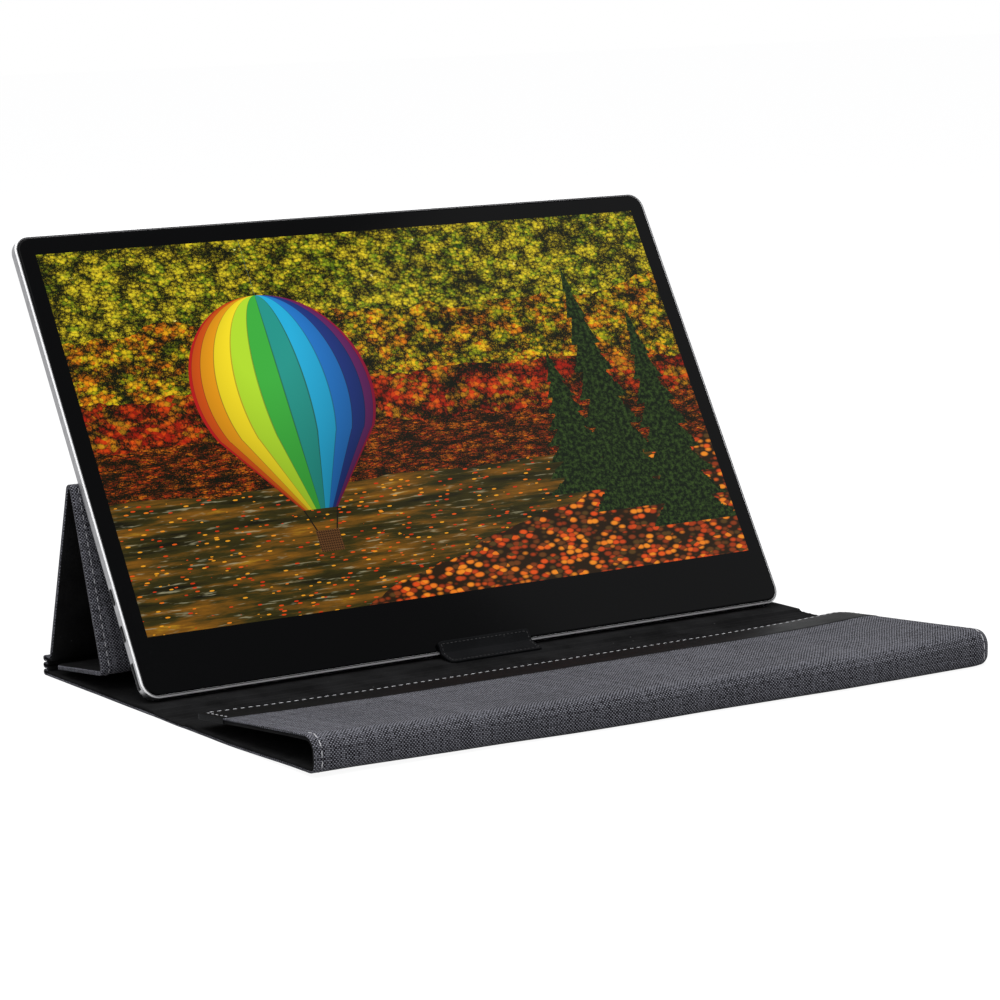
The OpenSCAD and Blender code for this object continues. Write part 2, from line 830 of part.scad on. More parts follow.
module rear_band(top, under, cut = 0) {
    translate([apex_y, apex_z]) rotate(rear_lean - 90) {
        difference() {
            translate([0, apex_r - under]) square([roll_x - spine_r / 2 + cut, under - top]);
            if (cut == 0) translate([roll_x, roll_y]) circle(spine_r + 0.05);
        }
        arc_band(apex_r - under, apex_r - top, 90, 90 + apex_split - rear_lean - apex_seam + cut);
    }
}

apex_seam = asin(seam / 2 / apex_r);

module rear_board_profile() {
    translate([apex_y, apex_z]) rotate(rear_lean - 90)
        translate([board_gap, apex_r - fabric_t - board_t]) square([rear_len - 2 * board_gap, board_t]);
}

module rear_fabric() {
    color("slategray") wrapped(inner_w) {
        rear_band(0, panel_t);
        rear_band(fabric_t, panel_t + 0.4, past);
    }
}

module rear_board() {
    color("tan") across(board_span) rear_board_profile();
}

module rear_lining() {
    color([0.2, 0.2, 0.2]) difference() {
        across(inner_w) rear_band(fabric_t, panel_t);
        across(inner_w + 1) rear_board_profile();
    }
}

// prop panel: x runs down it, y points to the monitor
module prop_band(top, under, cut = 0) {
    translate([apex_y, apex_z]) rotate(-90 - prop_lean) mirror([0, 1]) {
        translate([0, apex_r - under]) square([prop_len, under - top]);
        arc_band(apex_r - under, apex_r - top, 90, 90 + 180 - prop_lean - apex_split - apex_seam + cut);
        translate([prop_len, apex_r - foot_r]) arc_band(foot_r - under, foot_r - top,
            90 - (foot_split - 180 + prop_lean - foot_seam) - cut, 90);
    }
}

foot_seam = asin(seam / 2 / (foot_r - panel_t / 2));

module prop_board_profile() {
    translate([apex_y, apex_z]) rotate(-90 - prop_lean) mirror([0, 1])
        translate([board_gap, apex_r - fabric_t - board_t]) square([prop_len - 2 * board_gap, board_t]);
}

module prop_fabric() {
    color("slategray") wrapped(inner_w) {
        prop_band(0, panel_t);
        prop_band(fabric_t, panel_t + 0.4, past);
    }
}

module prop_board() {
    color("tan") across(board_span) prop_board_profile();
}

module prop_lining() {
    color([0.2, 0.2, 0.2]) difference() {
        across(inner_w) prop_band(fabric_t, panel_t);
        across(inner_w + 1) prop_board_profile();
    }
}

// foot flap: x runs back from the foot fold, y points up; its outer face lies foot_r below
module in_foot_profile() {
    translate([foot_y, foot_z]) rotate(-foot_tilt) children();
}

module foot_band(top, under, end, cut = 0) {
    in_foot_profile() {
        translate([0, top - foot_r]) square([foot_len - end, under - top]);
        arc_band(foot_r - under, foot_r - top, foot_tilt + foot_split + foot_seam - cut, 270);
    }
}

module foot_fabric() {
    color("slategray") difference() {
        across(cover_w) {
            foot_band(0, panel_t, panel_t / 2);
            in_foot_profile() translate([foot_len - panel_t / 2, panel_t / 2 - foot_r]) circle(panel_t / 2);
        }
        across(inner_w) foot_band(fabric_t, panel_t + 0.4, panel_t, past);
    }
}

module foot_board_profile() {
    in_foot_profile() translate([board_gap, fabric_t - foot_r])
        square([foot_len - panel_t - 2 * board_gap, board_t]);
}

// magnets lie in the foot's board, drawn flat behind the fold and tilted with it
module in_foot() {
    translate([0, foot_y, foot_z]) rotate([-foot_tilt, 0, 0]) translate([0, 0, -foot_r]) children();
}

foot_magnet_at = foot_len - 14;

module foot_board() {
    color("tan") difference() {
        across(board_span) foot_board_profile();
        in_foot() magnet_pockets(foot_magnet_at, fabric_t);
    }
}

module foot_lining() {
    color([0.2, 0.2, 0.2]) difference() {
        across(inner_w) foot_band(fabric_t, panel_t, panel_t);
        across(inner_w + 1) foot_board_profile();
    }
}

module foot_magnets() {
    color("gray") in_foot() magnet_row(foot_magnet_at, fabric_t, 0);
}

// ---------- the nodes ----------

cover_glass();
glass_tape();
lcd_panel();
backlight();
silver_frame();
rear_cover();
main_board();
shield_can();
driver_board();
panel_cables();
usb_c_sockets();
mini_hdmi_socket();
headphone_jack();
speakers();
board_screws();
button_board();
power_button();
menu_rocker();
base_fabric();
base_board();
base_lining();
base_magnets();
tab_foot_leaf();
tab_lip();
front_fabric();
front_board();
front_lining();
front_magnets();
nose_fabric();
nose_lining();
flap_fabric();
flap_board();
flap_lining();
flap_strip();
flap_magnets();
spine_fabric();
spine_lining();
rear_fabric();
rear_board();
rear_lining();
prop_fabric();
prop_board();
prop_lining();
foot_fabric();
foot_board();
foot_lining();
foot_magnets();
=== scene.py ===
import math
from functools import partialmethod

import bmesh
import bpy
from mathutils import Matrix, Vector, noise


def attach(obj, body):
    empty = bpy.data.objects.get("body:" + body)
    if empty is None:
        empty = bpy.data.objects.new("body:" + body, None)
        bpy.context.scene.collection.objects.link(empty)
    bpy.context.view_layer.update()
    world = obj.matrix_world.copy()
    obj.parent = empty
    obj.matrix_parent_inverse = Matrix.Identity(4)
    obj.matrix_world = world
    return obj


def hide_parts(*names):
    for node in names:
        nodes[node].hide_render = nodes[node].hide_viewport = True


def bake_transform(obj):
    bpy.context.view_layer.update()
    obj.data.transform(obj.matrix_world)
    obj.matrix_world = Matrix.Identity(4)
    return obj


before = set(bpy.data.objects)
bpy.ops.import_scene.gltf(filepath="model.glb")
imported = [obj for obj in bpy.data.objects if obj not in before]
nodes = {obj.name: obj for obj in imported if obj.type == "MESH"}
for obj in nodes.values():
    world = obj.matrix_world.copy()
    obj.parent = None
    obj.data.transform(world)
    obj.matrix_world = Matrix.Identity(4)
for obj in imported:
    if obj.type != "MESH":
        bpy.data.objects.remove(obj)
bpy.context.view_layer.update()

# %% [markdown]
# # A portable monitor standing in its folding cover
# The real object is a flat monitor and a long strip of stiff panels joined by soft folds. The strip starts at
# the closing flap, turns down over the nose, runs back under the monitor, folds up at the spine and ends in a
# tent that the monitor leans on. The metal, glass and inner parts of the monitor come ready made with the
# frame and only get their finishes here. The cloth, leather and thread of the cover are made new, because
# cloth needs round edges, hems, creases and seams. Sizes below are in millimetres until a piece is finished.

MM = 0.001
print("frame loaded:", len(nodes), "nodes")

# %% [markdown]
# ## The camera
# It stands low and to the left of the monitor with a long lens, so that the sides hardly converge. Three axes
# turn it: right, up and backwards.

# %% Camera
CAMERA_AT = Vector((-878.19, -1371.23, 348.55))
camera_data = bpy.data.cameras.new("camera")
camera_data.lens = 122.80
camera_data.sensor_width = 36
camera_data.clip_end = 20
camera = bpy.data.objects.new("camera", camera_data)
bpy.context.scene.collection.objects.link(camera)
right = Vector((0.82995868, -0.55761377, -0.01534497))
up = Vector((0.10643653, 0.13129829, 0.98561251))
back = Vector((-0.54757634, -0.81965093, 0.16832263))
turn = Matrix((right, up, back)).transposed().to_4x4()
camera.matrix_world = Matrix.Translation(CAMERA_AT * MM) @ turn
bpy.context.scene.camera = camera
print("camera looks along", [round(-v, 3) for v in back])

# %% [markdown]
# ## Arithmetic on shader values
# Weave, grain and the picture on the screen are all patterns worked out from coordinates. A small wrapper lets
# them be written as sums and products, where each sign adds one Math node. It could all be wired by hand in
# the shader editor, but a formula is easier to read than forty boxes.


# %% Wire: a shader value that can be added and multiplied
class Wire:
    def __init__(self, tree, socket):
        self.tree, self.socket = tree, socket

    def node(self, kind, **settings):
        made = self.tree.nodes.new(kind)
        for name, value in settings.items():
            setattr(made, name, value)
        return made

    def feed(self, socket, value):
        if isinstance(value, Wire):
            self.tree.links.new(value.socket, socket)
        elif value is not None:
            socket.default_value = value

    def through(self, kind, values, **settings):
        """All outputs of a new node that takes values by the place or the name of its inputs."""
        made = self.node(kind, **settings)
        for key, value in values.items() if isinstance(values, dict) else enumerate(values):
            self.feed(made.inputs[key], value)
        return [Wire(self.tree, out) for out in made.outputs]

    def math(self, operation, *others):
        return self.through("ShaderNodeMath", (self, *others), operation=operation)[0]

    __add__ = partialmethod(math, "ADD")
    __sub__ = partialmethod(math, "SUBTRACT")
    __mul__ = partialmethod(math, "MULTIPLY")
    __truediv__ = partialmethod(math, "DIVIDE")
    over = partialmethod(math, "GREATER_THAN")
    under = partialmethod(math, "LESS_THAN")
    most = partialmethod(math, "MAXIMUM")
    least = partialmethod(math, "MINIMUM")
    power = partialmethod(math, "POWER")
    arcsine = partialmethod(math, "ARCSINE")
    fraction = partialmethod(math, "FRACT")
    step = partialmethod(math, "FLOOR")
    size = partialmethod(math, "ABSOLUTE")

    def ramp(self, low, high, to_low=0.0, to_high=1.0):
        values = (self, low, high, to_low, to_high)
        return self.through("ShaderNodeMapRange", values, interpolation_type="SMOOTHSTEP")[0]

    def split(self):
        return self.through("ShaderNodeSeparateXYZ", (self,))

    def join(self, second, third=0.0):
        return self.through("ShaderNodeCombineXYZ", (self, second, third))[0]

    def noise(self, scale, detail=3.0, roughness=0.55):
        values = {"Vector": self, "Scale": scale, "Detail": detail, "Roughness": roughness}
        return self.through("ShaderNodeTexNoise", values)[0]

    def cells(self, scale):
        return self.through("ShaderNodeTexVoronoi", {"Vector": self, "Scale": scale})[:2]

    def random(self):
        return self.through("ShaderNodeTexWhiteNoise", {"Vector": self}, noise_dimensions="3D")[0]

    def colours(self, *stops, held=False):
        made = self.node("ShaderNodeValToRGB")
        made.color_ramp.interpolation = "CONSTANT" if held else "LINEAR"
        points = made.color_ramp.elements
        while len(points) < len(stops):
            points.new(0.5)
        for point, (place, colour) in zip(points, stops):
            point.position = place
            point.color = (*colour, 1)
        self.feed(made.inputs[0], self)
        return Wire(self.tree, made.outputs[0])


def paint(under, over, share):
    """Colour `over` laid on colour `under` as strongly as share says; either may be a plain colour."""
    wire = next(w for w in (under, over, share) if isinstance(w, Wire))
    made = wire.node("ShaderNodeMix", data_type="RGBA")
    for socket, value in zip((made.inputs[0], made.inputs[6], made.inputs[7]), (share, under, over)):
        wire.feed(socket, value if isinstance(value, (Wire, float, int)) else (*value, 1))
    return Wire(wire.tree, made.outputs[2])


print("wires ready")

# %% [markdown]
# ## Materials
# Each finish is one Principled shader. A pattern that several finishes share is a node group, made once: the
# heathered weave of the cover, the fine grain of leather, suede and blasted metal, and light wear where
# something is often touched. Groups only give out colours, masks and heights.


# %% Starting a material and a shared group
def new_material(name, **plain):
    material = bpy.data.materials.new(name)
    material.use_nodes = True
    tree = material.node_tree
    shader = tree.nodes["Principled BSDF"]
    for key, value in plain.items():
        socket = shader.inputs[key.replace("_", " ")]
        socket.default_value = (*value, 1) if isinstance(value, tuple) else value
    place = tree.nodes.new("ShaderNodeTexCoord")
    return material, shader, Wire(tree, place.outputs["Object"]), Wire(tree, place.outputs["UV"])


def plug(node, **wires):
    """Leads each wire to the socket of its name; an underscore stands for a space."""
    for label, wire in wires.items():
        wire.tree.links.new(wire.socket, node.inputs[label.replace("_", " ")])


def roughen(shader, height, distance, strength=1.0):
    bump = shader.id_data.nodes.new("ShaderNodeBump")
    bump.inputs["Strength"].default_value = strength
    bump.inputs["Distance"].default_value = distance
    plug(bump, Height=height)
    height.tree.links.new(bump.outputs[0], shader.inputs["Normal"])


SOCKET_KINDS = {"Surface": "Vector", "Pale": "Color", "Dark": "Color", "Color": "Color"}


def new_group(name, takes, gives):
    """A group whose sockets carry numbers, unless SOCKET_KINDS says otherwise."""
    group = bpy.data.node_groups.new(name, "ShaderNodeTree")
    for way, labels in (("INPUT", takes), ("OUTPUT", gives)):
        for label in labels:
            kind = "NodeSocket" + SOCKET_KINDS.get(label, "Float")
            group.interface.new_socket(label, in_out=way, socket_type=kind)
    entry = group.nodes.new("NodeGroupInput")
    leave = group.nodes.new("NodeGroupOutput")
    return group, [Wire(group, out) for out in entry.outputs[:-1]], leave


def place_group(group, wire, **values):
    made = wire.node("ShaderNodeGroup", node_tree=group)
    for label, value in values.items():
        wire.feed(made.inputs[label], (*value, 1) if isinstance(value, tuple) else value)
    return {out.name: Wire(wire.tree, out) for out in made.outputs}


# %% [markdown]
# ### The weave
# The cover is a plain weave of a dark warp and a paler weft, both spun from mixed fibres, which is called
# heathered. Warp and weft take turns on top, like a chequerboard. In each square the upper yarn is a small
# dome, longer along its own run, and its colour is painted darker towards the dome's edge as shade between
# the yarns. Each yarn has its own tone, which also drifts along the yarn.

# %% Group: heathered weave
weave, (surface, pitch, pale, dark, drift), leave = new_group(
    "heathered weave", ("Surface", "Pitch", "Pale", "Dark", "Drift"), ("Color", "Height", "Roughness"))
across, along, _ = surface.split()
# yarns are never quite straight
sway = surface.noise(22.0, 2.0) - 0.5
u = (across + sway * 0.0018) / pitch
v = (along + sway * 0.0018) / pitch
column, row = u.step(), v.step()
warp_up = ((column + row) * 0.5).fraction().over(0.25)
in_u = (u.fraction() - 0.5).size() * 2
in_v = (v.fraction() - 0.5).size() * 2
round_u, round_v = in_u * in_u, in_v * in_v
warp_dome = (round_u * -0.75 + 1) * (round_v * -0.45 + 1)
weft_dome = (round_v * -0.75 + 1) * (round_u * -0.45 + 1)
dome = warp_up * warp_dome + (warp_up * -1 + 1) * weft_dome
fibres = surface.noise(2600.0, 2.0, 0.7)
warp_shade = column.join(0.0, 3.0).random() * 0.35 + (u * 0.9).join(v * 0.16, 5.0).noise(1.0, 2.0) * 0.5 - 0.33
weft_shade = row.join(7.0, 1.0).random() * 0.4 + (u * 0.16).join(v * 0.9, 9.0).noise(1.0, 2.0) * 0.9
shade = warp_up * warp_shade + (warp_up * -1 + 1) * weft_shade + column.join(row, 2.0).random() * 0.3
shade += (fibres - 0.5) * 0.4 + (surface.noise(750.0, 2.0) - 0.5) * 0.9
shade += (surface.noise(18.0, 3.0) - 0.5) * drift
share = shade.ramp(0.0, 1.0)
# painted shade: the colour darkens towards black at the edge of each yarn dome, between the yarns
colour = paint(paint(dark, pale, share), (0.0, 0.0, 0.0), dome.ramp(0.4, 0.95, 0.9, 0.0))
plug(leave, Color=colour, Height=dome + fibres * 0.15, Roughness=share * -0.12 + 0.92)
print("weave has", len(weave.nodes), "nodes")

# %% [markdown]
# ### The grain
# Leather, suede, blasted metal and plastic all have a fine cell pattern at their own scale. One group gives a
# cell height, a soft mottling and rare bright specks.

# %% Group: fine grain
grain, (surface, scale, speck_share), leave = new_group(
    "fine grain", ("Surface", "Scale", "Specks"), ("Height", "Mottle", "Specks"))
distance, _ = surface.cells(scale)
fine = surface.noise(scale * 2.3, 3.0, 0.6)
mottle = surface.noise(scale * 0.03, 4.0, 0.6)
speck_distance, speck_colour = surface.cells(scale * 0.35)
speck_pick = speck_colour.split()[0].under(speck_share)
specks = speck_distance.under(0.22) * speck_pick
plug(leave, Height=distance * 0.8 + fine * 0.4, Mottle=mottle, Specks=specks)
print("grain has", len(grain.nodes), "nodes")

# %% [markdown]
# ### Wear
# Hands polish some places a little paler. Which ones could follow the edges of the mesh, but that is lost on
# export, so the group uses broad patches of noise broken up by fine scratches.

# %% Group: light wear
wear, (surface, amount), leave = new_group("light wear", ("Surface", "Amount"), ("Mask",))
patches = surface.noise(14.0, 4.0, 0.6).ramp(0.5, 0.75)
scratches = surface.noise(420.0, 4.0, 0.75).ramp(0.52, 0.72)
plug(leave, Mask=patches * scratches * amount)
print("wear has", len(wear.nodes), "nodes")

# %% [markdown]
# ### Cloth, lining, leather and thread
# The outer cloth reads the piece's own UV map, which runs across the cover and along the folded strip, so that
# the weave turns every corner with the cloth. The lining is a black suede with a short nap. The edge strip and
# the stop tab are smooth leather with a fine pebble. Thread is twisted, and the grooves of its twist are
# painted darker as shade, which shows as slanting bands.


# %% Cover finishes
YARN_PITCH = 0.00078


def cloth_material(name, pale, dark):
    material, shader, place, surface = new_material(
        name, Specular_IOR_Level=0.06, Sheen_Weight=0.03, Sheen_Roughness=0.45)
    woven = place_group(weave, surface, Surface=surface, Pitch=YARN_PITCH, Pale=pale, Dark=dark, Drift=0.3)
    rubbed = place_group(wear, surface, Surface=place, Amount=0.35)["Mask"]
    colour = paint(woven["Color"], tuple(c * 1.35 for c in pale), rubbed)
    plug(shader, Base_Color=colour, Roughness=woven["Roughness"])
    roughen(shader, woven["Height"], 0.00025, 0.8)
    return material


def grained(name, dark, pale, scale, depth, rough, specks=0.0, speck_colour=(0.2, 0.2, 0.2), **plain):
    """Two shades mottled together over a fine relief; scale is the grain's and depth its height."""
    material, shader, place, _ = new_material(name, **plain)
    fine = place_group(grain, place, Surface=place, Scale=scale, Specks=specks)
    rubbed = place_group(wear, place, Surface=place, Amount=0.4)["Mask"]
    colour = paint(dark, pale, fine["Mottle"].ramp(0.3, 0.7))
    if specks:
        colour = paint(colour, speck_colour, fine["Specks"] * 0.7)
    colour = paint(colour, tuple(min(1.0, c * 1.5 + 0.01) for c in pale), rubbed)
    roughness = fine["Mottle"].ramp(0.3, 0.7, rough + 0.05, rough - 0.05) - rubbed * 0.08
    plug(shader, Base_Color=colour, Roughness=roughness)
    roughen(shader, fine["Height"], depth)
    return material


woven_cloth = cloth_material("woven_cloth", (0.30, 0.302, 0.345), (0.004, 0.004, 0.006))
suede = grained("suede_lining", (0.0064, 0.0064, 0.0066), (0.0125, 0.0125, 0.013), 1500.0, 0.00012, 0.95,
                specks=0.02, speck_colour=(0.045, 0.045, 0.045), Specular_IOR_Level=0.02)
leather = grained("smooth_leather", (0.0030, 0.0033, 0.0038), (0.0048, 0.0051, 0.0058), 1400.0, 0.00006, 0.5,
                  specks=0.006, speck_colour=(0.03, 0.03, 0.03), Specular_IOR_Level=0.035)


def thread_material(name, colour, painted_groove_shade):
    material, shader, place, surface = new_material(name, Specular_IOR_Level=0.3, Sheen_Weight=0.2)
    along, around, _ = surface.split()
    twist = (along * 3.0 + around).fraction() - 0.5
    band = twist * twist * -4 + 1
    # painted shade: the grooves of the twist get the thread's darker colour
    plug(shader, Base_Color=paint(painted_groove_shade, colour, band.ramp(0.0, 0.7)), Roughness=place.noise(900.0) * 0.2 + 0.6)
    roughen(shader, band, 0.00008)
    return material


# the second colour of each thread is its painted shade in the grooves of the twist
pale_thread = thread_material("pale_thread", (0.62, 0.62, 0.64), (0.3, 0.3, 0.32))
grey_thread = thread_material("grey_thread", (0.46, 0.46, 0.485), (0.22, 0.22, 0.235))
dark_thread = thread_material("dark_thread", (0.012, 0.012, 0.013), (0.003, 0.003, 0.003))
print("cover finishes:", woven_cloth.name, suede.name, leather.name)

# %% [markdown]
# ### Metal, plastic and inner parts
# The case is blasted aluminium with a cut bevel, whose near-white, barely metallic colour is a painted
# highlight, and the narrow band between bevel and glass is dark. The parts inside the case are seen through
# its slots at most, and each gets the finish of what it is made of, though the socket shells are painted
# near-black as the shade inside the slots.

# %% Case and inner finishes
MONITOR_T = 0.0068
LEAN = math.radians(30.8)
# the lower rear edge of the leaning monitor
FOOT_Y, FOOT_Z = -0.0345, 0.0016225
ALUMINIUM = ((0.30, 0.30, 0.31), (0.34, 0.34, 0.35), 9000.0, 0.000008, 0.42)
metal = grained("blasted_aluminium", *ALUMINIUM, Metallic=1.0)
metal_with_painted_bevel_highlight = grained("aluminium_with_painted_bevel_highlight", *ALUMINIUM, Metallic=1.0)

# the cut bevel takes up the outermost 0.9 mm of the wall; its near-white, barely metallic colour is a
# painted highlight, brighter than the blasted sides
shader = metal_with_painted_bevel_highlight.node_tree.nodes["Principled BSDF"]
place = next(n for n in metal_with_painted_bevel_highlight.node_tree.nodes if n.type == "TEX_COORD").outputs["Object"]
x, y, z = Wire(metal_with_painted_bevel_highlight.node_tree, place).split()
depth = (y - FOOT_Y) * -math.cos(LEAN) + (z - FOOT_Z) * math.sin(LEAN)
cut = depth.over(MONITOR_T - 0.00090)
inner_edge = depth.over(MONITOR_T - 0.00028)
blasted = Wire(metal_with_painted_bevel_highlight.node_tree, shader.inputs["Base Color"].links[0].from_socket)
painted_bevel_highlight = paint(blasted, (0.93, 0.93, 0.935), cut)
plug(shader, Base_Color=paint(painted_bevel_highlight, (0.06, 0.06, 0.062), inner_edge), Metallic=cut * -0.9 + 1)

foam = grained("black_foam", (0.008, 0.008, 0.008), (0.02, 0.02, 0.02), 1800.0, 0.0001, 0.85)
film = grained("lcd_film", (0.012, 0.012, 0.016), (0.02, 0.02, 0.026), 3000.0, 0.00001, 0.2)
tray = grained("white_tray", (0.75, 0.75, 0.75), (0.85, 0.85, 0.85), 1800.0, 0.00003, 0.45)
grey_board = grained("grey_board", (0.2, 0.16, 0.11), (0.3, 0.24, 0.17), 900.0, 0.0001, 0.9, specks=0.05)
magnet = grained("nickel", (0.55, 0.54, 0.52), (0.68, 0.67, 0.65), 2500.0, 0.00001, 0.25, Metallic=1.0)
tin = grained("tinned_steel", (0.5, 0.5, 0.5), (0.66, 0.66, 0.66), 1600.0, 0.00002, 0.32, Metallic=1.0)
# painted shade: the socket shells are near-black, as the shade inside the slots
socket_steel_with_painted_shade = grained("socket_steel_with_painted_shade", (0.02, 0.02, 0.021), (0.04, 0.04, 0.042), 1600.0, 0.00002, 0.4,
                       Metallic=1.0)
flex = grained("flex_film", (0.4, 0.19, 0.03), (0.52, 0.28, 0.06), 2200.0, 0.00001, 0.3)

circuit, shader, place, _ = new_material("circuit_board")
x, y, z = place.split()
lanes = ((x + y) * 900.0).fraction().over(0.55) * place.noise(160.0).over(0.5)
pads = place.cells(420.0)[0].under(0.28)
colour = paint(paint((0.008, 0.09, 0.03), (0.02, 0.17, 0.06), lanes), (0.7, 0.55, 0.25), pads * 0.8)
plug(shader, Base_Color=colour, Roughness=lanes * 0.1 + 0.35)
roughen(shader, lanes + pads, 0.00005)

finishes = {
    "silver_frame": metal_with_painted_bevel_highlight, "rear_cover": metal, "power_button": metal, "menu_rocker": metal,
    "glass_tape": foam, "speakers": foam, "headphone_jack": foam, "lcd_panel": film, "backlight": tray,
    "main_board": circuit, "driver_board": circuit, "button_board": circuit, "shield_can": tin,
    "usb_c_sockets": socket_steel_with_painted_shade, "mini_hdmi_socket": socket_steel_with_painted_shade, "board_screws": tin, "panel_cables": flex}
for name in nodes:
    if name.endswith("_magnets"):
        finishes[name] = magnet
    elif name.endswith("_board") and name not in finishes:
        finishes[name] = grey_board
print("inner finishes for", len(finishes), "nodes")

# %% [markdown]
# ### The glass and its picture
# The front is one sheet of glass, black except over the picture: a made-up autumn valley with wooded hills, a
# dark lake, three firs and a striped balloon. It could be an image file, but a pattern stays sharp at any
# distance. Each layer is a colour and a mask and is laid over the one before, as with cut paper.

# %% Where a point lies on the picture
glass, shader, place, _ = new_material("glass_front", Specular_IOR_Level=0.035)
x, y, z = place.split()
# side and height are counted from the middle of the picture, and one unit is the picture's height
PICTURE_W, PICTURE_H = 0.3442, 0.1936
MIDDLE_UP = 0.1257
side = x / PICTURE_H
height = ((y - FOOT_Y) * math.sin(LEAN) + (z - FOOT_Z) * math.cos(LEAN) - MIDDLE_UP) / PICTURE_H
spot = side.join(height)


# %% Layers of the picture
def hill(base, swing, wave, shift, scale, squash, stops, light=1.0):
    """Colour and mask of one wooded hill."""
    ridge = (side * wave + shift).join(0.0).noise(1.0, 3.0) - 0.5
    tops = (side * scale * 1.1).join(shift).noise(1.0, 2.0) - 0.5
    mask = height.under(ridge * swing + base + tops * 0.03)
    crowns = side.join(height * squash, shift)
    far, hue = crowns.cells(scale)
    small, tuft = crowns.cells(scale * 3.6)
    pick = hue.split()[0] * 0.4 + tuft.split()[0] * 0.4 + spot.noise(3.0 + shift, 3.0) * 0.45
    colour = pick.colours(*stops)
    lit = (far * -0.8 + 1.1) * (small * -0.9 + 1.25) * light
    leaves = (spot.noise(scale * 11.0, 5.0, 0.8) - 0.5) * 2.0
    return paint((0.004, 0.005, 0.001), colour, (lit + leaves).ramp(0.3, 1.05)), mask


sky = paint((0.95, 0.80, 0.22), (0.75, 0.78, 0.30), height.ramp(0.38, 0.5))
layers = [
    hill(0.58, 0.10, 1.4, 1.0, 26.0, 1.4,
         ((0.2, (0.05, 0.12, 0.004)), (0.42, (0.30, 0.38, 0.010)), (0.7, (0.80, 0.62, 0.02)))),
    hill(0.28, 0.26, 1.9, 4.0, 20.0, 1.4,
         ((0.2, (0.02, 0.06, 0.002)), (0.4, (0.36, 0.38, 0.006)), (0.6, (0.88, 0.55, 0.01)),
          (0.8, (0.75, 0.2, 0.004)))),
    hill(0.10, 0.22, 1.7, 9.0, 16.0, 1.4,
         ((0.2, (0.07, 0.06, 0.004)), (0.4, (0.62, 0.25, 0.006)), (0.58, (0.75, 0.07, 0.004)),
          (0.8, (0.4, 0.012, 0.002)))),
    hill(-0.03, 0.14, 2.3, 14.0, 24.0, 3.4,
         ((0.2, (0.03, 0.012, 0.002)), (0.42, (0.18, 0.035, 0.004)), (0.6, (0.50, 0.035, 0.003)),
          (0.8, (0.66, 0.16, 0.005))), 0.85)]
# the sky shines through the thin crowns of the farthest wood
gaps = side.join(height * 1.3, 6.0).noise(9.0, 6.0, 0.75).under(0.66)
picture = paint(sky, layers[0][0], layers[0][1] * gaps)
for colour, mask in layers[1:]:
    picture = paint(picture, colour, mask)

# the lake mirrors the woods as streaks
streaks = (side * 3.2).join(height * 30.0).noise(1.0, 6.0, 0.65)
glints = (side * 12.0).join(height * 120.0).noise(1.0, 3.0, 0.6).ramp(0.58, 0.7)
lake = streaks.colours((0.34, (0.008, 0.007, 0.002)), (0.48, (0.035, 0.028, 0.004)),
                       (0.62, (0.20, 0.08, 0.006)), (0.76, (0.55, 0.30, 0.015)))
lake = paint(lake, (0.45, 0.42, 0.26), glints * 0.5)
leaf_far, leaf_hue = side.join(height * 3.4, 8.0).cells(38.0)
afloat = leaf_far.under(0.26) * leaf_hue.split()[2].over(0.5)
leaf = leaf_hue.split()[0].colours((0.2, (0.55, 0.03, 0.004)), (0.5, (0.75, 0.09, 0.006)),
                                   (0.8, (0.80, 0.33, 0.015)))
lake = paint(lake, leaf, afloat)
shore = (side * 3.0).join(2.0).noise(1.0, 3.0) - 0.5
picture = paint(picture, lake, height.under(shore * 0.08 - 0.17))

# a bank of fallen leaves in the near corner
litter_far, litter_hue = side.join(height * 1.8, 3.0).cells(46.0)
litter = litter_hue.split()[1].colours((0.1, (0.09, 0.045, 0.01)), (0.4, (0.30, 0.035, 0.006)),
                                       (0.65, (0.72, 0.07, 0.008)), (0.9, (0.85, 0.25, 0.015)))
litter = paint(litter, (0.02, 0.01, 0.003), litter_far.ramp(0.3, 0.7))
bank_edge = side.join(4.0).noise(4.0, 4.0) * 0.12
picture = paint(picture, litter, height.under(bank_edge + side * 0.3 - 0.47))

# %% Firs on the right
FIRS = ((0.60, -0.34, 0.36, 0.26), (0.76, -0.40, 0.22, 0.27), (0.47, -0.28, 0.12, 0.25))
for fir_x, fir_foot, fir_top, spread in FIRS:
    down = (height * -1 + fir_top) / (fir_top - fir_foot)
    tier = (down * 9.0).fraction() * 0.45 + 0.62
    rag = spot.noise(46.0, 3.0, 0.7) * 0.5 + 0.75
    inside = (side - fir_x).size().under(down * tier * rag * (spread * 0.5))
    inside = inside * down.under(1.0) * down.over(0.0)
    needles = paint((0.003, 0.008, 0.002), (0.035, 0.07, 0.012), spot.noise(90.0, 3.0, 0.7).ramp(0.4, 0.7))
    picture = paint(picture, needles, inside)

# %% Balloon
BALLOON = (-0.33, 0.09)
RADIUS = 0.255
q = (side - BALLOON[0]) / RADIUS
w = (height - BALLOON[1]) / RADIUS
round_part = (w * w * -1 + 1).most(0.0).power(0.5)
skirt = (w + 1.28) * 0.86 + 0.19
upper = w.over(-0.5)
half = (upper * round_part + (upper * -1 + 1) * skirt).most(0.001)
envelope = q.size().under(half) * w.over(-1.28)
g = (q / half).least(1.0).most(-1.0)
turn_share = g.arcsine() / math.pi + 0.5
RAINBOW = ((0.85, 0.02, 0.02), (0.9, 0.12, 0.01), (0.95, 0.38, 0.01), (0.95, 0.75, 0.02), (0.45, 0.72, 0.03),
           (0.05, 0.42, 0.05), (0.02, 0.30, 0.25), (0.02, 0.42, 0.70), (0.02, 0.20, 0.62), (0.02, 0.05, 0.28),
           (0.22, 0.03, 0.20), (0.60, 0.01, 0.08))
gores = turn_share.colours(*[(i / len(RAINBOW), colour) for i, colour in enumerate(RAINBOW)], held=True)
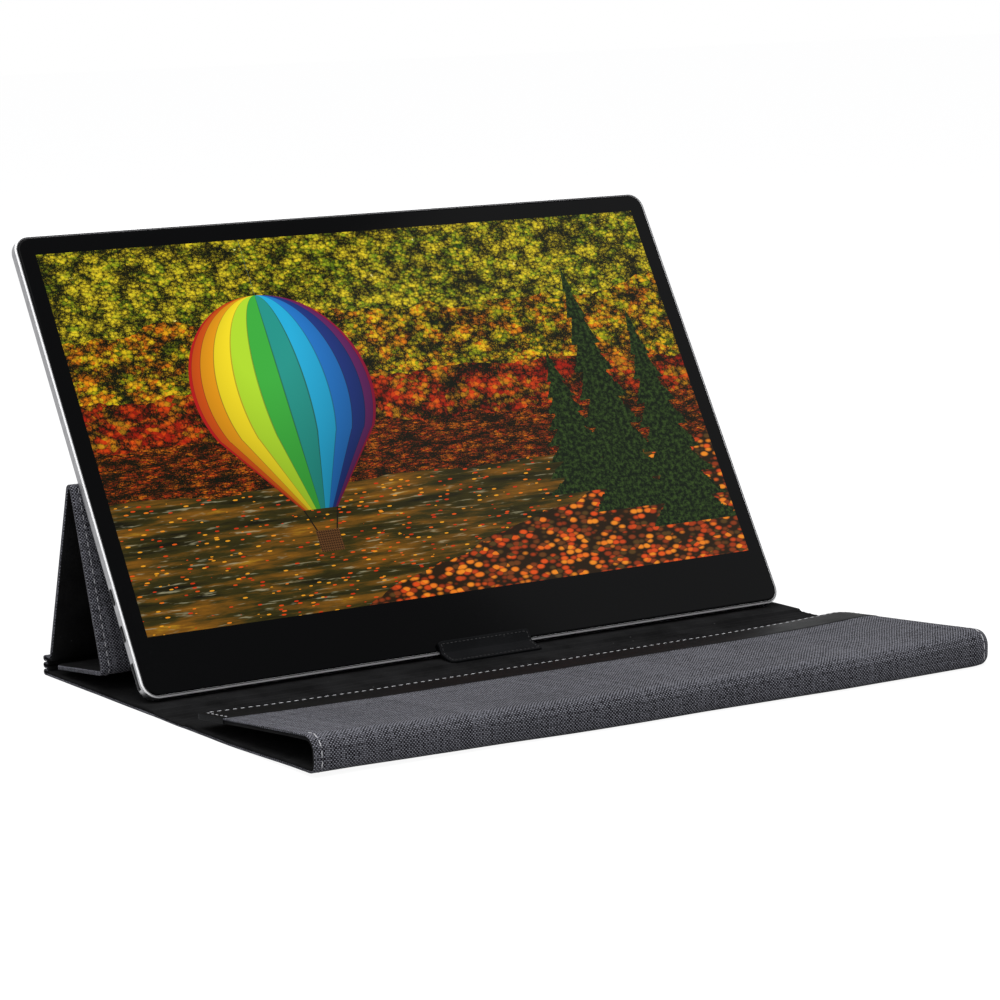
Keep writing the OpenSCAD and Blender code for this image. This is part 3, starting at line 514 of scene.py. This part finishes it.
seams = ((turn_share * len(RAINBOW)).fraction() - 0.5).size().over(0.47)
gores = paint(gores, (0.02, 0.02, 0.02), seams * 0.5)
shading = (g * g * -0.55 + 1) * (w - g * 0.6).ramp(-1.6, 1.0, 0.55, 1.15)
gores = paint((0.0, 0.0, 0.0), gores, shading.least(1.0))
picture = paint(picture, gores, envelope)
basket = (q.size().under(0.13)) * w.under(-1.5) * w.over(-1.72)
weaving = ((q * 40.0).fraction() + (w * 40.0).fraction()).over(1.0)
picture = paint(picture, paint((0.03, 0.012, 0.004), (0.12, 0.05, 0.015), weaving), basket)
ropes = (q.size() - ((w + 1.5) * 0.35 + 0.11)).size().under(0.008) * w.under(-1.28) * w.over(-1.5)
picture = paint(picture, (0.01, 0.008, 0.004), ropes)

# %% Glass round the picture
lit = side.size().under(PICTURE_W / PICTURE_H / 2) * height.size().under(0.5)
smears = place_group(wear, place, Surface=place, Amount=0.4)["Mask"]
plug(shader, Emission_Color=paint((0.0, 0.0, 0.0), picture, lit), Roughness=smears * 0.15 + 0.09,
     Base_Color=paint((0.0012, 0.0013, 0.0016), (0.004, 0.004, 0.005), smears))
shader.inputs["Emission Strength"].default_value = 1.0
finishes["cover_glass"] = glass
for name, finish in finishes.items():
    slots = nodes[name].data.materials
    slots.clear()
    slots.append(finish)
print("picture has", len(glass.node_tree.nodes), "nodes")

# %% [markdown]
# ## The side line of the cover
# The cover is one long strip, so it is laid out like a tape measure: start at the free edge of the closing
# flap and go straight, round a fold, straight again, until the foot of the tent. A vertex is pushed along with
# extrude for the straight runs and with spin for the folds. Each vertex remembers how far along the strip it
# lies and which way is outwards; thickness, weave and stitches all use that.

# %% Measures of the cover
COVER_W = 369.4
PANEL_T = 2.5
SOFT_T = 1.3
CLOTH_T = 0.9
FLAP_TILT = 4.676
STEP = 3.6


# %% Laying out a side line
def heading_vector(degrees):
    return Vector((0, math.cos(math.radians(degrees)), math.sin(math.radians(degrees))))


def lay_out(bm, start, moves, step=STEP):
    """Draws the line and returns its vertices, their distances along it and its end: (y, z, heading, along)."""
    y, z, heading, along = start
    tip = bm.verts.new((0, y, z))
    chain, places = [tip], [along]
    for length, bend in moves:
        # where bend isn't 0, length is the fold's radius; a negative bend turns the other way
        pieces = max(3, round(abs(bend) / 13)) if bend else max(1, round(abs(length) / step))
        centre = tip.co + heading_vector(heading + math.copysign(90, bend)) * length
        for _ in range(pieces):
            if bend:
                spun = bmesh.ops.spin(bm, geom=[tip], cent=centre, axis=(1, 0, 0), steps=1,
                                      angle=math.radians(bend / pieces))
                tip = next(g for g in spun["geom_last"] if isinstance(g, bmesh.types.BMVert))
                along += math.radians(abs(bend) / pieces) * length
            else:
                tip = bmesh.ops.extrude_vert_indiv(bm, verts=[tip])["verts"][0]
                bmesh.ops.translate(bm, verts=[tip], vec=heading_vector(heading) * (length / pieces))
                along += length / pieces
            chain.append(tip)
            places.append(along)
        heading += bend
    return chain, places, (tip.co.y, tip.co.z, heading, along)


def outward(chain):
    """Unit vectors to the right of the run, at each vertex of the line."""
    steps = [after.co - before.co for before, after in zip(chain[:1] + chain, chain[1:] + chain[-1:])]
    return [Vector((0, step.z, -step.y)).normalized() for step in steps]


def go_on(start, moves):
    """Only the end of a run of moves."""
    bm = bmesh.new()
    end = lay_out(bm, start, moves)[2]
    bm.free()
    return end


print("side line tools ready")

# %% [markdown]
# ### The runs of the strip
# The strip is cut between its joints, mostly in the middle of a stiff panel, where nothing bends. That gives
# six runs. The spine folds in three pleats.

# %% Six runs, named for the fold in their middle
FLAP_L, NOSE_R = 90.0, 6.6
# the middle of the round between flap and nose
ROUND_Y, ROUND_Z = -183.5, 8.4
tilt = math.radians(FLAP_TILT)
free_edge = (ROUND_Y + FLAP_L * math.cos(tilt) + NOSE_R * math.sin(tilt),
             ROUND_Z - FLAP_L * math.sin(tilt) + NOSE_R * math.cos(tilt), 180 - FLAP_TILT, 0.0)
PLEAT_R = 1.47
pleat = [(PLEAT_R, 180), (2.2, 0), (0.2, -180), (2.2, 0)]
TO_RIBS, RIBBED = 54.0, 30.0
runs = {
    "nose": [(FLAP_L, 0), (NOSE_R, 90 + FLAP_TILT), (3.8, 0), (4.6, 45)],
    "front": [(4.6, 45), (50.0, 0)],
    "ribs": [(TO_RIBS, 0), (RIBBED, 0), (50.0, 0)],
    "spine": [(56.6, 0)] + pleat * 2 + [(PLEAT_R, 180), (4.948, 0), (0.5, -74.118), (42.0, 0)],
    "apex": [(44.125, 0), (3.0, 146.818), (41.0, 0)],
    "foot": [(40.932, 0), (4.0, 101.149), (42.0, 0)]}
starts, state = {}, free_edge
for name, moves in runs.items():
    starts[name] = state
    state = go_on(state, moves)
    print(f"{name:6} from y {starts[name][0]:7.2f} z {starts[name][1]:6.2f}, {starts[name][3]:6.1f} mm along")
print("the strip is", round(state[3]), "mm long")

NOSE_END = starts["front"][3]
FOLD_FRONT = starts["ribs"][3] + TO_RIBS
FOLD_REAR = FOLD_FRONT + RIBBED
SPINE_FROM = starts["spine"][3] + 53.0
SPINE_TO = starts["apex"][3] - 42.0
THIN_STRETCHES = ((FOLD_FRONT, FOLD_REAR), (SPINE_FROM, SPINE_TO))


def part_of(value, low, high):
    """How far value lies on the way from low to high, as 0 to 1."""
    return min(1.0, max(0.0, (value - low) / (high - low)))


def depth_at(along):
    """Thickness of the cover: thin where it folds, full where a board is inside."""
    for low, high in THIN_STRETCHES:
        if low < along < high:
            share = min(1.0, (along - low) / 1.5, (high - along) / 1.5)
            return PANEL_T + (SOFT_T - PANEL_T) * share
    return PANEL_T


# %% [markdown]
# ### How the cloth lies
# Real cloth over board isn't ruled straight. The nose bows forwards by up to a dozen millimetres towards its
# right end, because the flap is folded over slightly askew. Both its ends stand a little higher, and only the
# last corner on the right drops. The surface rises and falls by a tenth of a millimetre on the boards and more
# on the folds. Every layer uses the same rules, so that lining, cloth, edge strip and thread stay together.

# %% Bow and unevenness
# pairs of a place across the cover and how far the nose lies in front of a straight line there
BOW = ((-184.7, -2.8), (-164, -2.9), (-140, -3.9), (-116, -4.3), (-91, -4.4), (-67, -5.6), (-41, -7.0),
       (-15, -8.0), (12, -8.2), (39, -9.2), (67, -10.5), (95, -11.6), (125, -11.8), (149, -11.9), (170, -11.9),
       (174, -11.1), (176, -10.2), (178, -8.8), (180, -7.0), (182.5, -3.9), (184.7, -0.6))
# how far the flap lies above its plane at its free edge, at the top of the nose and at the foot of the nose
LIFT_FREE = ((-184.7, 1.5), (-150, 0.5), (-100, -0.2), (0, -0.5), (100, -0.5), (140, 0.0), (164, 0.8),
             (173, 1.1), (180, 0.2), (184.7, -1.2))
LIFT_TOP = ((-184.7, 2.7), (-150, 1.8), (-100, 0.6), (-50, 0.0), (100, 0.0), (150, 1.0), (168, 1.9), (174, 1.9),
            (177, 1.3), (180, 0.3), (184.7, -2.3))
LIFT_LOW = ((-184.7, 1.6), (-150, 1.2), (-100, 0.5), (-60, 0.0), (184.7, 0.0))


def read_off(table, x):
    for (x0, b0), (x1, b1) in zip(table, table[1:]):
        if x <= x1 or x1 == table[-1][0]:
            return b0 + (b1 - b0) * part_of(x, x0, x1)


BOW_FROM, BOW_FULL = -93.3, -187.3


def bow(x, y):
    """How far the nose end of the cover lies in front of a straight line, in millimetres; minus is forwards."""
    return read_off(BOW, x) * part_of(y, BOW_FROM, BOW_FULL) ** 1.5


def lift(x, along):
    """How far flap and nose stand above their plane. Only the left end of the front panel leaves the table."""
    if along < FLAP_L:
        share = along / FLAP_L
        return read_off(LIFT_FREE, x) * (1 - share) + read_off(LIFT_TOP, x) * share
    if along < NOSE_END:
        share = (along - FLAP_L) / (NOSE_END - FLAP_L)
        return read_off(LIFT_TOP, x) * (1 - share) + read_off(LIFT_LOW, x) * share
    away = 1 - part_of(along, NOSE_END, NOSE_END + 75.0)
    return read_off(LIFT_LOW, x) * away * away * (3 - 2 * away)


def soft_share(along):
    """Cloth moves freely over the nose and the folds, and less over the boards."""
    free = any(low < along < high for low, high in ((84.0, 109.0), *THIN_STRETCHES))
    return 1.0 if free else 0.3


def unevenness(x, along):
    low = noise.noise(Vector((x / 38.0, along / 26.0, 3.1)))
    fine = noise.noise(Vector((x / 13.0, along / 11.0, 8.4)))
    return (low * 0.28 + fine * 0.1) * soft_share(along)


def settle(co, along, out):
    moved = co + out * unevenness(co.x, along)
    moved.y += bow(co.x, co.y)
    moved.z += lift(co.x, along)
    return moved


print("bow runs from", min(b for _, b in BOW), "to", max(b for _, b in BOW), "mm")

# %% [markdown]
# ### From a line to a layer
# One layer is made in five steps: extrude the line inwards for its thickness, extrude that band across the
# width, cut it into narrow strips, round its rims with a bevel, and let it settle. The UV map is written last
# from what each vertex remembers, and it goes on over the hem to the inner side.


# %% Layer maker
def finish_piece(bm, name, material, smooth_to=38):
    """Closes the bmesh into an object in metres, with its place in its mesh."""
    bmesh.ops.scale(bm, verts=bm.verts, vec=(MM, MM, MM))
    mesh = bpy.data.meshes.new(name)
    bm.to_mesh(mesh)
    bm.free()
    for face in mesh.polygons:
        face.use_smooth = True
    mesh.set_sharp_from_angle(angle=math.radians(smooth_to))
    mesh.materials.append(material)
    piece = bpy.data.objects.new(name, mesh)
    bpy.context.scene.collection.objects.link(piece)
    return piece


def new_verts(made):
    return [g for g in made["geom"] if isinstance(g, bmesh.types.BMVert)]


def width(edge):
    return abs((edge.verts[0].co - edge.verts[1].co).x)


def make_layer(name, start, moves, near, far, material, half_width=COVER_W / 2, middle=0.0, cuts=61,
               rim=0.0, free_start=False, free_end=False, corner=0.0, settles=True, step=STEP):
    """A layer between two depths under the outer face. near and far are functions of the distance along."""
    bm = bmesh.new()
    along_layer = bm.verts.layers.float.new("along")
    depth_layer = bm.verts.layers.float.new("depth")
    out_layer = bm.verts.layers.float_vector.new("out")
    chain, places, _ = lay_out(bm, start, moves, step)
    for vert, along, out in zip(chain, places, outward(chain)):
        vert[along_layer], vert[out_layer], vert[depth_layer] = along, out, near(along)
    for vert in new_verts(bmesh.ops.extrude_edge_only(bm, edges=bm.edges[:])):
        vert[depth_layer] = far(vert[along_layer])
    for vert in bm.verts:
        vert.co -= vert[out_layer] * vert[depth_layer]
    bmesh.ops.translate(bm, verts=bm.verts, vec=(middle - half_width, 0, 0))
    made = bmesh.ops.extrude_face_region(bm, geom=bm.faces[:])
    bmesh.ops.translate(bm, verts=new_verts(made), vec=(2 * half_width, 0, 0))
    bmesh.ops.recalc_face_normals(bm, faces=bm.faces)

    # free ends get a rounded rim, the others meet the next run
    ends = ((places[0], free_start), (places[-1], free_end))
    free = [place for place, is_free in ends if is_free]
    joined = [place for place, is_free in ends if not is_free]

    def lies_at(edge, where):
        return any(all(abs(vert[along_layer] - place) < 1e-4 for vert in edge.verts) for place in where)

    if corner:
        uprights = [e for e in bm.edges if lies_at(e, free) and width(e) < 1e-4]
        bmesh.ops.bevel(bm, geom=uprights, offset=corner, segments=6, profile=0.5, affect="EDGES", material=-1)
    wide = [e for e in bm.edges if width(e) > half_width]
    bmesh.ops.subdivide_edges(bm, edges=wide, cuts=cuts, use_grid_fill=True)
    if settles:
        # the cuts lie closer together towards both ends, where the bow turns quickly
        for vert in bm.verts:
            vert.co.x += 0.6 * half_width / math.pi * math.sin(math.pi * (vert.co.x - middle) / half_width)

    def is_rim(edge):
        slopes = [abs(face.normal.x) for face in edge.link_faces]
        if max(slopes) > 0.9 and min(slopes) < 0.5 and not lies_at(edge, joined):
            return True
        fold = edge.calc_face_angle(0)
        level = abs(edge.verts[0][depth_layer] - edge.verts[1][depth_layer]) < 0.01
        return level and (fold > 0.6 and lies_at(edge, free) or bool(corner) and fold > 1.2)

    if rim:
        rims = [e for e in bm.edges if is_rim(e)]
        bmesh.ops.bevel(bm, geom=rims, offset=rim, segments=3, profile=0.5, affect="EDGES", material=-1)
    if settles:
        for vert in bm.verts:
            vert.co = settle(vert.co, vert[along_layer], vert[out_layer])
    uv_layer = bm.loops.layers.uv.new("surface")
    for face in bm.faces:
        for loop in face.loops:
            x, along = loop.vert.co.x - middle, loop.vert[along_layer]
            u = x
            if loop.vert[depth_layer] > (near(along) + far(along)) / 2:
                u = (1 if x > 0 else -1) * (2 * half_width - abs(x) + far(along) - near(along))
            loop[uv_layer].uv = (u * MM, along * MM)
    print(f"{name}: {sum(len(f.verts) - 2 for f in bm.faces)} triangles")
    return finish_piece(bm, name, material)


# %% [markdown]
# ### Outer cloth
# The cloth lies on the outer face of the boards. On the panels of the tent it also covers their edges, so it is
# drawn thicker there. It starts under the rim of the flap's edge strip.

# %% Outer cloth, one piece for each run
LINING_T = 0.45
STRIP_W = 23.0
UNDER_STRIP = STRIP_W - 1.5


def cloth_far(along):
    thin = min(CLOTH_T, depth_at(along) * 0.55)
    return thin + (PANEL_T - LINING_T - thin) * part_of(along, SPINE_TO, SPINE_TO + 1.5)


covered = {name: (starts[name], moves) for name, moves in runs.items()}
flap, *bends = runs["nose"]
covered["nose"] = (go_on(starts["nose"], [(UNDER_STRIP, 0)]), [(flap[0] - UNDER_STRIP, 0)] + bends)
cloth = {name: make_layer(name + "_cloth", start, moves, lambda along: 0.0, cloth_far, woven_cloth, rim=0.4,
                          free_end=name == "foot")
         for name, (start, moves) in covered.items()}

# %% [markdown]
# ### Lining
# The lining covers the boards from the inner side. In the soft fold before the base it is pressed into low
# ribs, so that it folds evenly. At the foot of the tent it ends just before the cloth.

# %% Lining, one piece for each run
RIBS = 6


def ribbed_depth(along):
    depth = depth_at(along)
    if FOLD_FRONT + 2 < along < FOLD_REAR - 2:
        depth += 0.32 * math.sin((along - FOLD_FRONT) / RIBBED * 2 * math.pi * RIBS)
    return depth


foot_start, foot_moves = covered["foot"]
covered["foot"] = (foot_start, foot_moves[:-1] + [(foot_moves[-1][0] - 0.4, 0)])
lining = {name: make_layer(name + "_lining", start, moves, cloth_far, ribbed_depth, suede, rim=0.55,
                           half_width=COVER_W / 2 - 0.3, free_end=name == "foot",
                           step=1.0 if name == "ribs" else STEP)
          for name, (start, moves) in covered.items()}

# %% [markdown]
# ### Card and magnets inside the flap
# The flap and the front panel are bent a little. Their cards bend and the flap's magnets shift with the cloth.

# %% Card and magnets
def card(name, start, length):
    return make_layer(name, start, [(length, 0)], lambda along: 0.75, lambda along: 1.9, grey_board,
                      half_width=182.8)


flap_card = card("flap_card", go_on(starts["nose"], [(3.4, 0)]), 85.4)
front_card = card("front_card", go_on(starts["front"], [(4.6, 45), (1.2, 0)]), 101.6)
MAGNET_IN = 12.0
flap_out = heading_vector(90 - FLAP_TILT)
y, z = go_on(starts["nose"], [(MAGNET_IN, 0)])[:2]
bm = bmesh.new()
for x in (-120, -40, 40, 120):
    block = bmesh.ops.create_cube(bm, size=1.0)["verts"]
    bmesh.ops.scale(bm, verts=block, vec=(24.0, 8.0, 1.0))
    bmesh.ops.rotate(bm, verts=block, matrix=Matrix.Rotation(-tilt, 3, "X"))
    bmesh.ops.translate(bm, verts=block, vec=settle(Vector((x, y, z)) - flap_out * 1.2, MAGNET_IN, flap_out))
flap_magnets = finish_piece(bm, "flap_magnet_blocks", magnet)
print("card and magnets:", flap_card.name, flap_magnets.name)

# %% [markdown]
# ### Edge strip of the flap
# Smooth leather is wrapped round the free edge of the flap, a little proud of the cloth on both faces. Its
# corners are cut round before its rims are rounded.

# %% Edge strip
edge_strip = make_layer("flap_edge_strip", starts["nose"], [(5.0, 0), (STRIP_W - 5.0, 0)],
                        lambda along: -0.22, lambda along: PANEL_T + 0.12, leather,
                        half_width=COVER_W / 2 + 0.15, free_start=True, corner=2.4, rim=0.7)

# %% [markdown]
# ## Stitches
# A stitch is a short bean of thread that dips into the cloth at both ends. One bean has a few dozen faces and
# is laid again and again along a seam, because hundreds of them must stay light. A seam is a list of points on
# the cover, each with the way that is outwards there.


# %% Reading a place on the strip, and sewing
def side_line(start, moves, step=STEP):
    bm = bmesh.new()
    chain, places, _ = lay_out(bm, start, moves, step)
    rows = [(along, vert.co.copy(), out) for vert, along, out in zip(chain, places, outward(chain))]
    bm.free()
    return rows


def on_line(rows, along):
    """Point of the outer face and outward direction at a distance along."""
    for (a0, p0, n0), (a1, p1, n1) in zip(rows, rows[1:]):
        if along <= a1 + 1e-6:
            share = (along - a0) / (a1 - a0)
            return p0.lerp(p1, share), n0.lerp(n1, share).normalized()
    return rows[-1][1].copy(), rows[-1][2].copy()


def on_cover(rows, x, along, depth, settles=True):
    point, out = on_line(rows, along)
    point = Vector((x, point.y, point.z)) - out * depth
    return (settle(point, along, out) if settles else point), out


def sew(name, seams, thread, length=2.3, pitch=3.9, thickness=0.46):
    """seams: lists of (point, outward) pairs; a stitch is laid every pitch along each."""
    bm = bmesh.new()
    for places in seams:
        run, mark = 0.0, 0.6
        for (p0, n0), (p1, n1) in zip(places, places[1:]):
            piece = (p1 - p0).length
            while mark + length / 2 <= run + piece:
                share = (mark + length / 2 - run) / piece
                centre = p0.lerp(p1, share)
                out = n0.lerp(n1, share).normalized()
                ahead = (p1 - p0).normalized()
                jitter = noise.noise(centre / 3.7)
                ahead = (ahead + out.cross(ahead).normalized() * jitter * 0.12).normalized()
                aside = out.cross(ahead).normalized()
                turned = Matrix((ahead, aside, out)).transposed().to_4x4()
                bean = bmesh.ops.create_uvsphere(bm, u_segments=8, v_segments=6, radius=1.0)["verts"]
                bmesh.ops.rotate(bm, verts=bean, matrix=Matrix.Rotation(math.pi / 2, 3, "Y"))
                size = (length / 2 * (1 + jitter * 0.1), thickness / 2, thickness * 0.42)
                bmesh.ops.scale(bm, verts=bean, vec=size)
                bmesh.ops.transform(bm, verts=bean, matrix=Matrix.Translation(centre) @ turned)
                mark += pitch
            run += piece
    uv_layer = bm.loops.layers.uv.new("surface")
    for face in bm.faces:
        for loop in face.loops:
            co = loop.vert.co
            loop[uv_layer].uv = ((co.x + co.y) * 0.35, co.z * 0.35)
    print(f"{name}: {len(seams)} seams sewn")
    return finish_piece(bm, name, thread, smooth_to=180)


rows = {name: side_line(starts[name], moves) for name, moves in runs.items()}


def seam(run, x0, low, x1, high, depth=-0.02, pace=1.5):
    """Places a pace apart between two points of a run, each given across and along."""
    steps = max(2, int(max(abs(x1 - x0), high - low) / pace))
    return [on_cover(rows[run], x0 + (x1 - x0) * i / steps, low + (high - low) * i / steps, depth)
            for i in range(steps + 1)]


# %% Seams of every run
# the leather strip stands proud of the cloth, so its seam lies above the face
half = COVER_W / 2
STRIP_SEAM_X, STRIP_SEAM_UP = half - 3.2, -0.24
strip_seam = seam("nose", STRIP_SEAM_X, 2.5, -STRIP_SEAM_X, 2.5, STRIP_SEAM_UP, pace=4.0)
left_end, right_end = [seam("nose", x, 2.5, x, 22.0, STRIP_SEAM_UP) for x in (-STRIP_SEAM_X, STRIP_SEAM_X)]
NOSE_LOW = 86.0
nose_ends = [seam("nose", 3.5 - half, NOSE_LOW, 3.5 - half, NOSE_END, -0.14),
             seam("nose", 174.0, NOSE_LOW - 7, 174.0, NOSE_END, -0.16)]
stitching = {
    "strip_stitching": sew("strip_stitching", [strip_seam, left_end], pale_thread),
    "strip_end_stitching": sew("strip_end_stitching", [right_end], dark_thread),
    "nose_stitching": sew("nose_stitching", nose_ends, pale_thread, length=3.5, pitch=4.5, thickness=0.5)}

# run, distance in from the cover's side, and stretches that are sewn; a start below zero and an end of zero or
# below are counted from the end of the run
SIDE_SEAMS = (("front", 3.5, [(0, 0)]), ("apex", 3.6, [(0, 0)]), ("foot", 3.6, [(0, -4)]),
              ("spine", 3.6, [(-40, 0), (0, 50)]), ("ribs", 3.5, [(0, 0)]))
for run, inset, stretches in SIDE_SEAMS:
    first, last = starts[run][3], rows[run][-1][0]
    spans = [((last if low < 0 else first) + low, (first if high > 0 else last) + high)
             for low, high in stretches]
    seams = [seam(run, x, low, x, high) for low, high in spans for x in (inset - half, half - inset)]
    name = run + "_stitching"
    stitching[name] = sew(name, seams, grey_thread, length=2.8, pitch=4.2, thickness=0.44)

# %% [markdown]
# ## Stop tab
# One strip of leather, sewn round its edge and folded where it leaves the base. The lower leaf lies flat on
# the lining, the lip stands against the glass and keeps the monitor from sliding forward.

# %% Stop tab
tab_start = (-39.063, 10.861, 239.2, 0.0)
tab_moves = [(5.7, 0), (1.4, -43.6), (4.8, 0), (6.0, -9.0), (3.5, 0)]
TAB_MIDDLE, TAB_HALF, TAB_STEP, SEAM_IN = 1.0, 26.0, 1.4, 1.5
tab = make_layer("stop_tab_leather", tab_start, tab_moves, lambda along: 0.0, lambda along: 1.5, leather,
                 half_width=TAB_HALF, middle=TAB_MIDDLE, cuts=25, rim=0.35, free_start=True, free_end=True,
                 corner=2.6, settles=False, step=TAB_STEP)
tab_rows = side_line(tab_start, tab_moves, TAB_STEP)
low_x, high_x = TAB_MIDDLE - TAB_HALF + SEAM_IN, TAB_MIDDLE + TAB_HALF - SEAM_IN
low_along, high_along = SEAM_IN, tab_rows[-1][0] - SEAM_IN
corners = [(low_x, low_along), (high_x, low_along), (high_x, high_along), (low_x, high_along)]
ring = []
for (x0, a0), (x1, a1), count in zip(corners, corners[1:] + corners[:1], (20, 12, 20, 12)):
    ring += [on_cover(tab_rows, x0 + (x1 - x0) * i / count, a0 + (a1 - a0) * i / count, -0.02, settles=False)
             for i in range(count + 1)]
stitching["tab_stitching"] = sew("tab_stitching", [ring], dark_thread, length=1.4, pitch=2.3, thickness=0.4)

# %% [markdown]
# ## Joining the pieces to the moving panels
# Each run crosses one fold between two panels. Its pieces are baked in place, and the frame's cloth and lining
# on the panels it covers are hidden. The flap's strip, card and magnets and the front card ride on their
# panels.

# %% Riding and baking in place
# run: the panel before the fold and after it, where the fold begins and ends, and the panels it covers
folds = {
    "nose": ("closing_flap", "nose", (0, -183.5, 15.0), (0, -190.1, 8.4), ("flap", "nose")),
    "front": ("nose", "front_panel", (0, -188.75, 1.35), (0, -185.0, 0.0), ("front",)),
    "ribs": ("front_panel", "base", (0, -80.0, 0), (0, -53.0, 0), ("base",)),
    "spine": ("base", "rear_stand", (0, 50.0, 2.6), (0, 50.0, 6.4), ("spine",)),
    "apex": ("rear_stand", "prop", (0, 25.7, 94.4), (0, 20.7, 94.0), ("rear",)),
    "foot": ("prop", "foot_flap", (0, -4.0, 14.7), (0, 1.2, 9.5), ("prop", "foot"))}
for name, (before, after, start, end, panels) in folds.items():
    for piece in (cloth[name], lining[name], stitching[name + "_stitching"]):
        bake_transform(piece)
    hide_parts(*(panel + "_fabric" for panel in panels))
    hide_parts(*(panel + "_lining" for panel in panels))
for piece in (edge_strip, stitching["strip_stitching"], stitching["strip_end_stitching"]):
    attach(piece, "closing_flap")
for piece in (flap_card, flap_magnets):
    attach(piece, "closing_flap")
for piece in (tab, stitching["tab_stitching"]):
    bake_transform(piece)
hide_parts("flap_strip")
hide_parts("flap_board")
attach(front_card, "front_panel")
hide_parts("front_board")
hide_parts("flap_magnets")
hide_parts("tab_foot_leaf", "tab_lip")
print("cover joined")

# %% [markdown]
# ## Floor and light
# A plain white floor under a broad overhead panel and two weak side lamps, with a paler sky all round. The
# floor shows white to the camera and still takes the soft shadow under the cover.


# %% Floor
def seen_directly(tree):
    """1 for rays that come from the camera, from a gloss or through glass, else 0."""
    path = tree.nodes.new("ShaderNodeLightPath")
    kinds = ("Camera", "Glossy", "Transmission")
    first, gloss, through = (Wire(tree, path.outputs[f"Is {kind} Ray"]) for kind in kinds)
    return first.most(gloss).most(through)


floor_material = bpy.data.materials.new("white_floor")
floor_material.use_nodes = True
tree = floor_material.node_tree
tree.nodes.clear()
direct = seen_directly(tree)
plain = direct.node("ShaderNodeBsdfDiffuse")
plain.inputs["Color"].default_value = (0.5, 0.5, 0.5, 1)
pale = direct.node("ShaderNodeBsdfDiffuse")
pale.inputs["Color"].default_value = (0.16, 0.16, 0.16, 1)
glow = direct.node("ShaderNodeEmission")
glow.inputs["Strength"].default_value = 0.93
both = direct.node("ShaderNodeAddShader")
pick = direct.node("ShaderNodeMixShader")
finish = direct.node("ShaderNodeOutputMaterial")
for giver, taker in ((direct.socket, pick.inputs[0]), (plain.outputs[0], pick.inputs[1]),
                     (pale.outputs[0], both.inputs[0]), (glow.outputs[0], both.inputs[1]),
                     (both.outputs[0], pick.inputs[2]), (pick.outputs[0], finish.inputs["Surface"])):
    tree.links.new(giver, taker)
bm = bmesh.new()
bmesh.ops.create_grid(bm, x_segments=1, y_segments=1, size=6000)
floor = finish_piece(bm, "floor", floor_material)
floor.location.z = -0.2 * MM

# %% Sky and lamps
world = bpy.data.worlds.new("studio")
bpy.context.scene.world = world
world.use_nodes = True
tree = world.node_tree
plug(tree.nodes["Background"], Color=paint((0.38, 0.38, 0.395), (1.0, 1.0, 1.0), seen_directly(tree)))


def soft_lamp(name, place, aim, width, depth, power):
    lamp_data = bpy.data.lights.new(name, "AREA")
    lamp_data.shape = "RECTANGLE"
    lamp_data.size, lamp_data.size_y, lamp_data.energy = width, depth, power
    lamp = bpy.data.objects.new(name, lamp_data)
    lamp.location = place
    lamp.rotation_euler = (Vector(aim) - Vector(place)).to_track_quat("-Z", "Y").to_euler()
    bpy.context.scene.collection.objects.link(lamp)


soft_lamp("overhead", (-0.3, -0.15, 1.6), (0, 0, 0), 1.8, 1.4, 28)
soft_lamp("left", (-1.44, -0.55, 0.95), (0, 0, 0.1), 1.0, 1.0, 2.5)
soft_lamp("right", (1.5, -1.0, 1.45), (0, 0, 0.1), 0.8, 0.8, 3)
bpy.context.scene.view_settings.view_transform = "Standard"
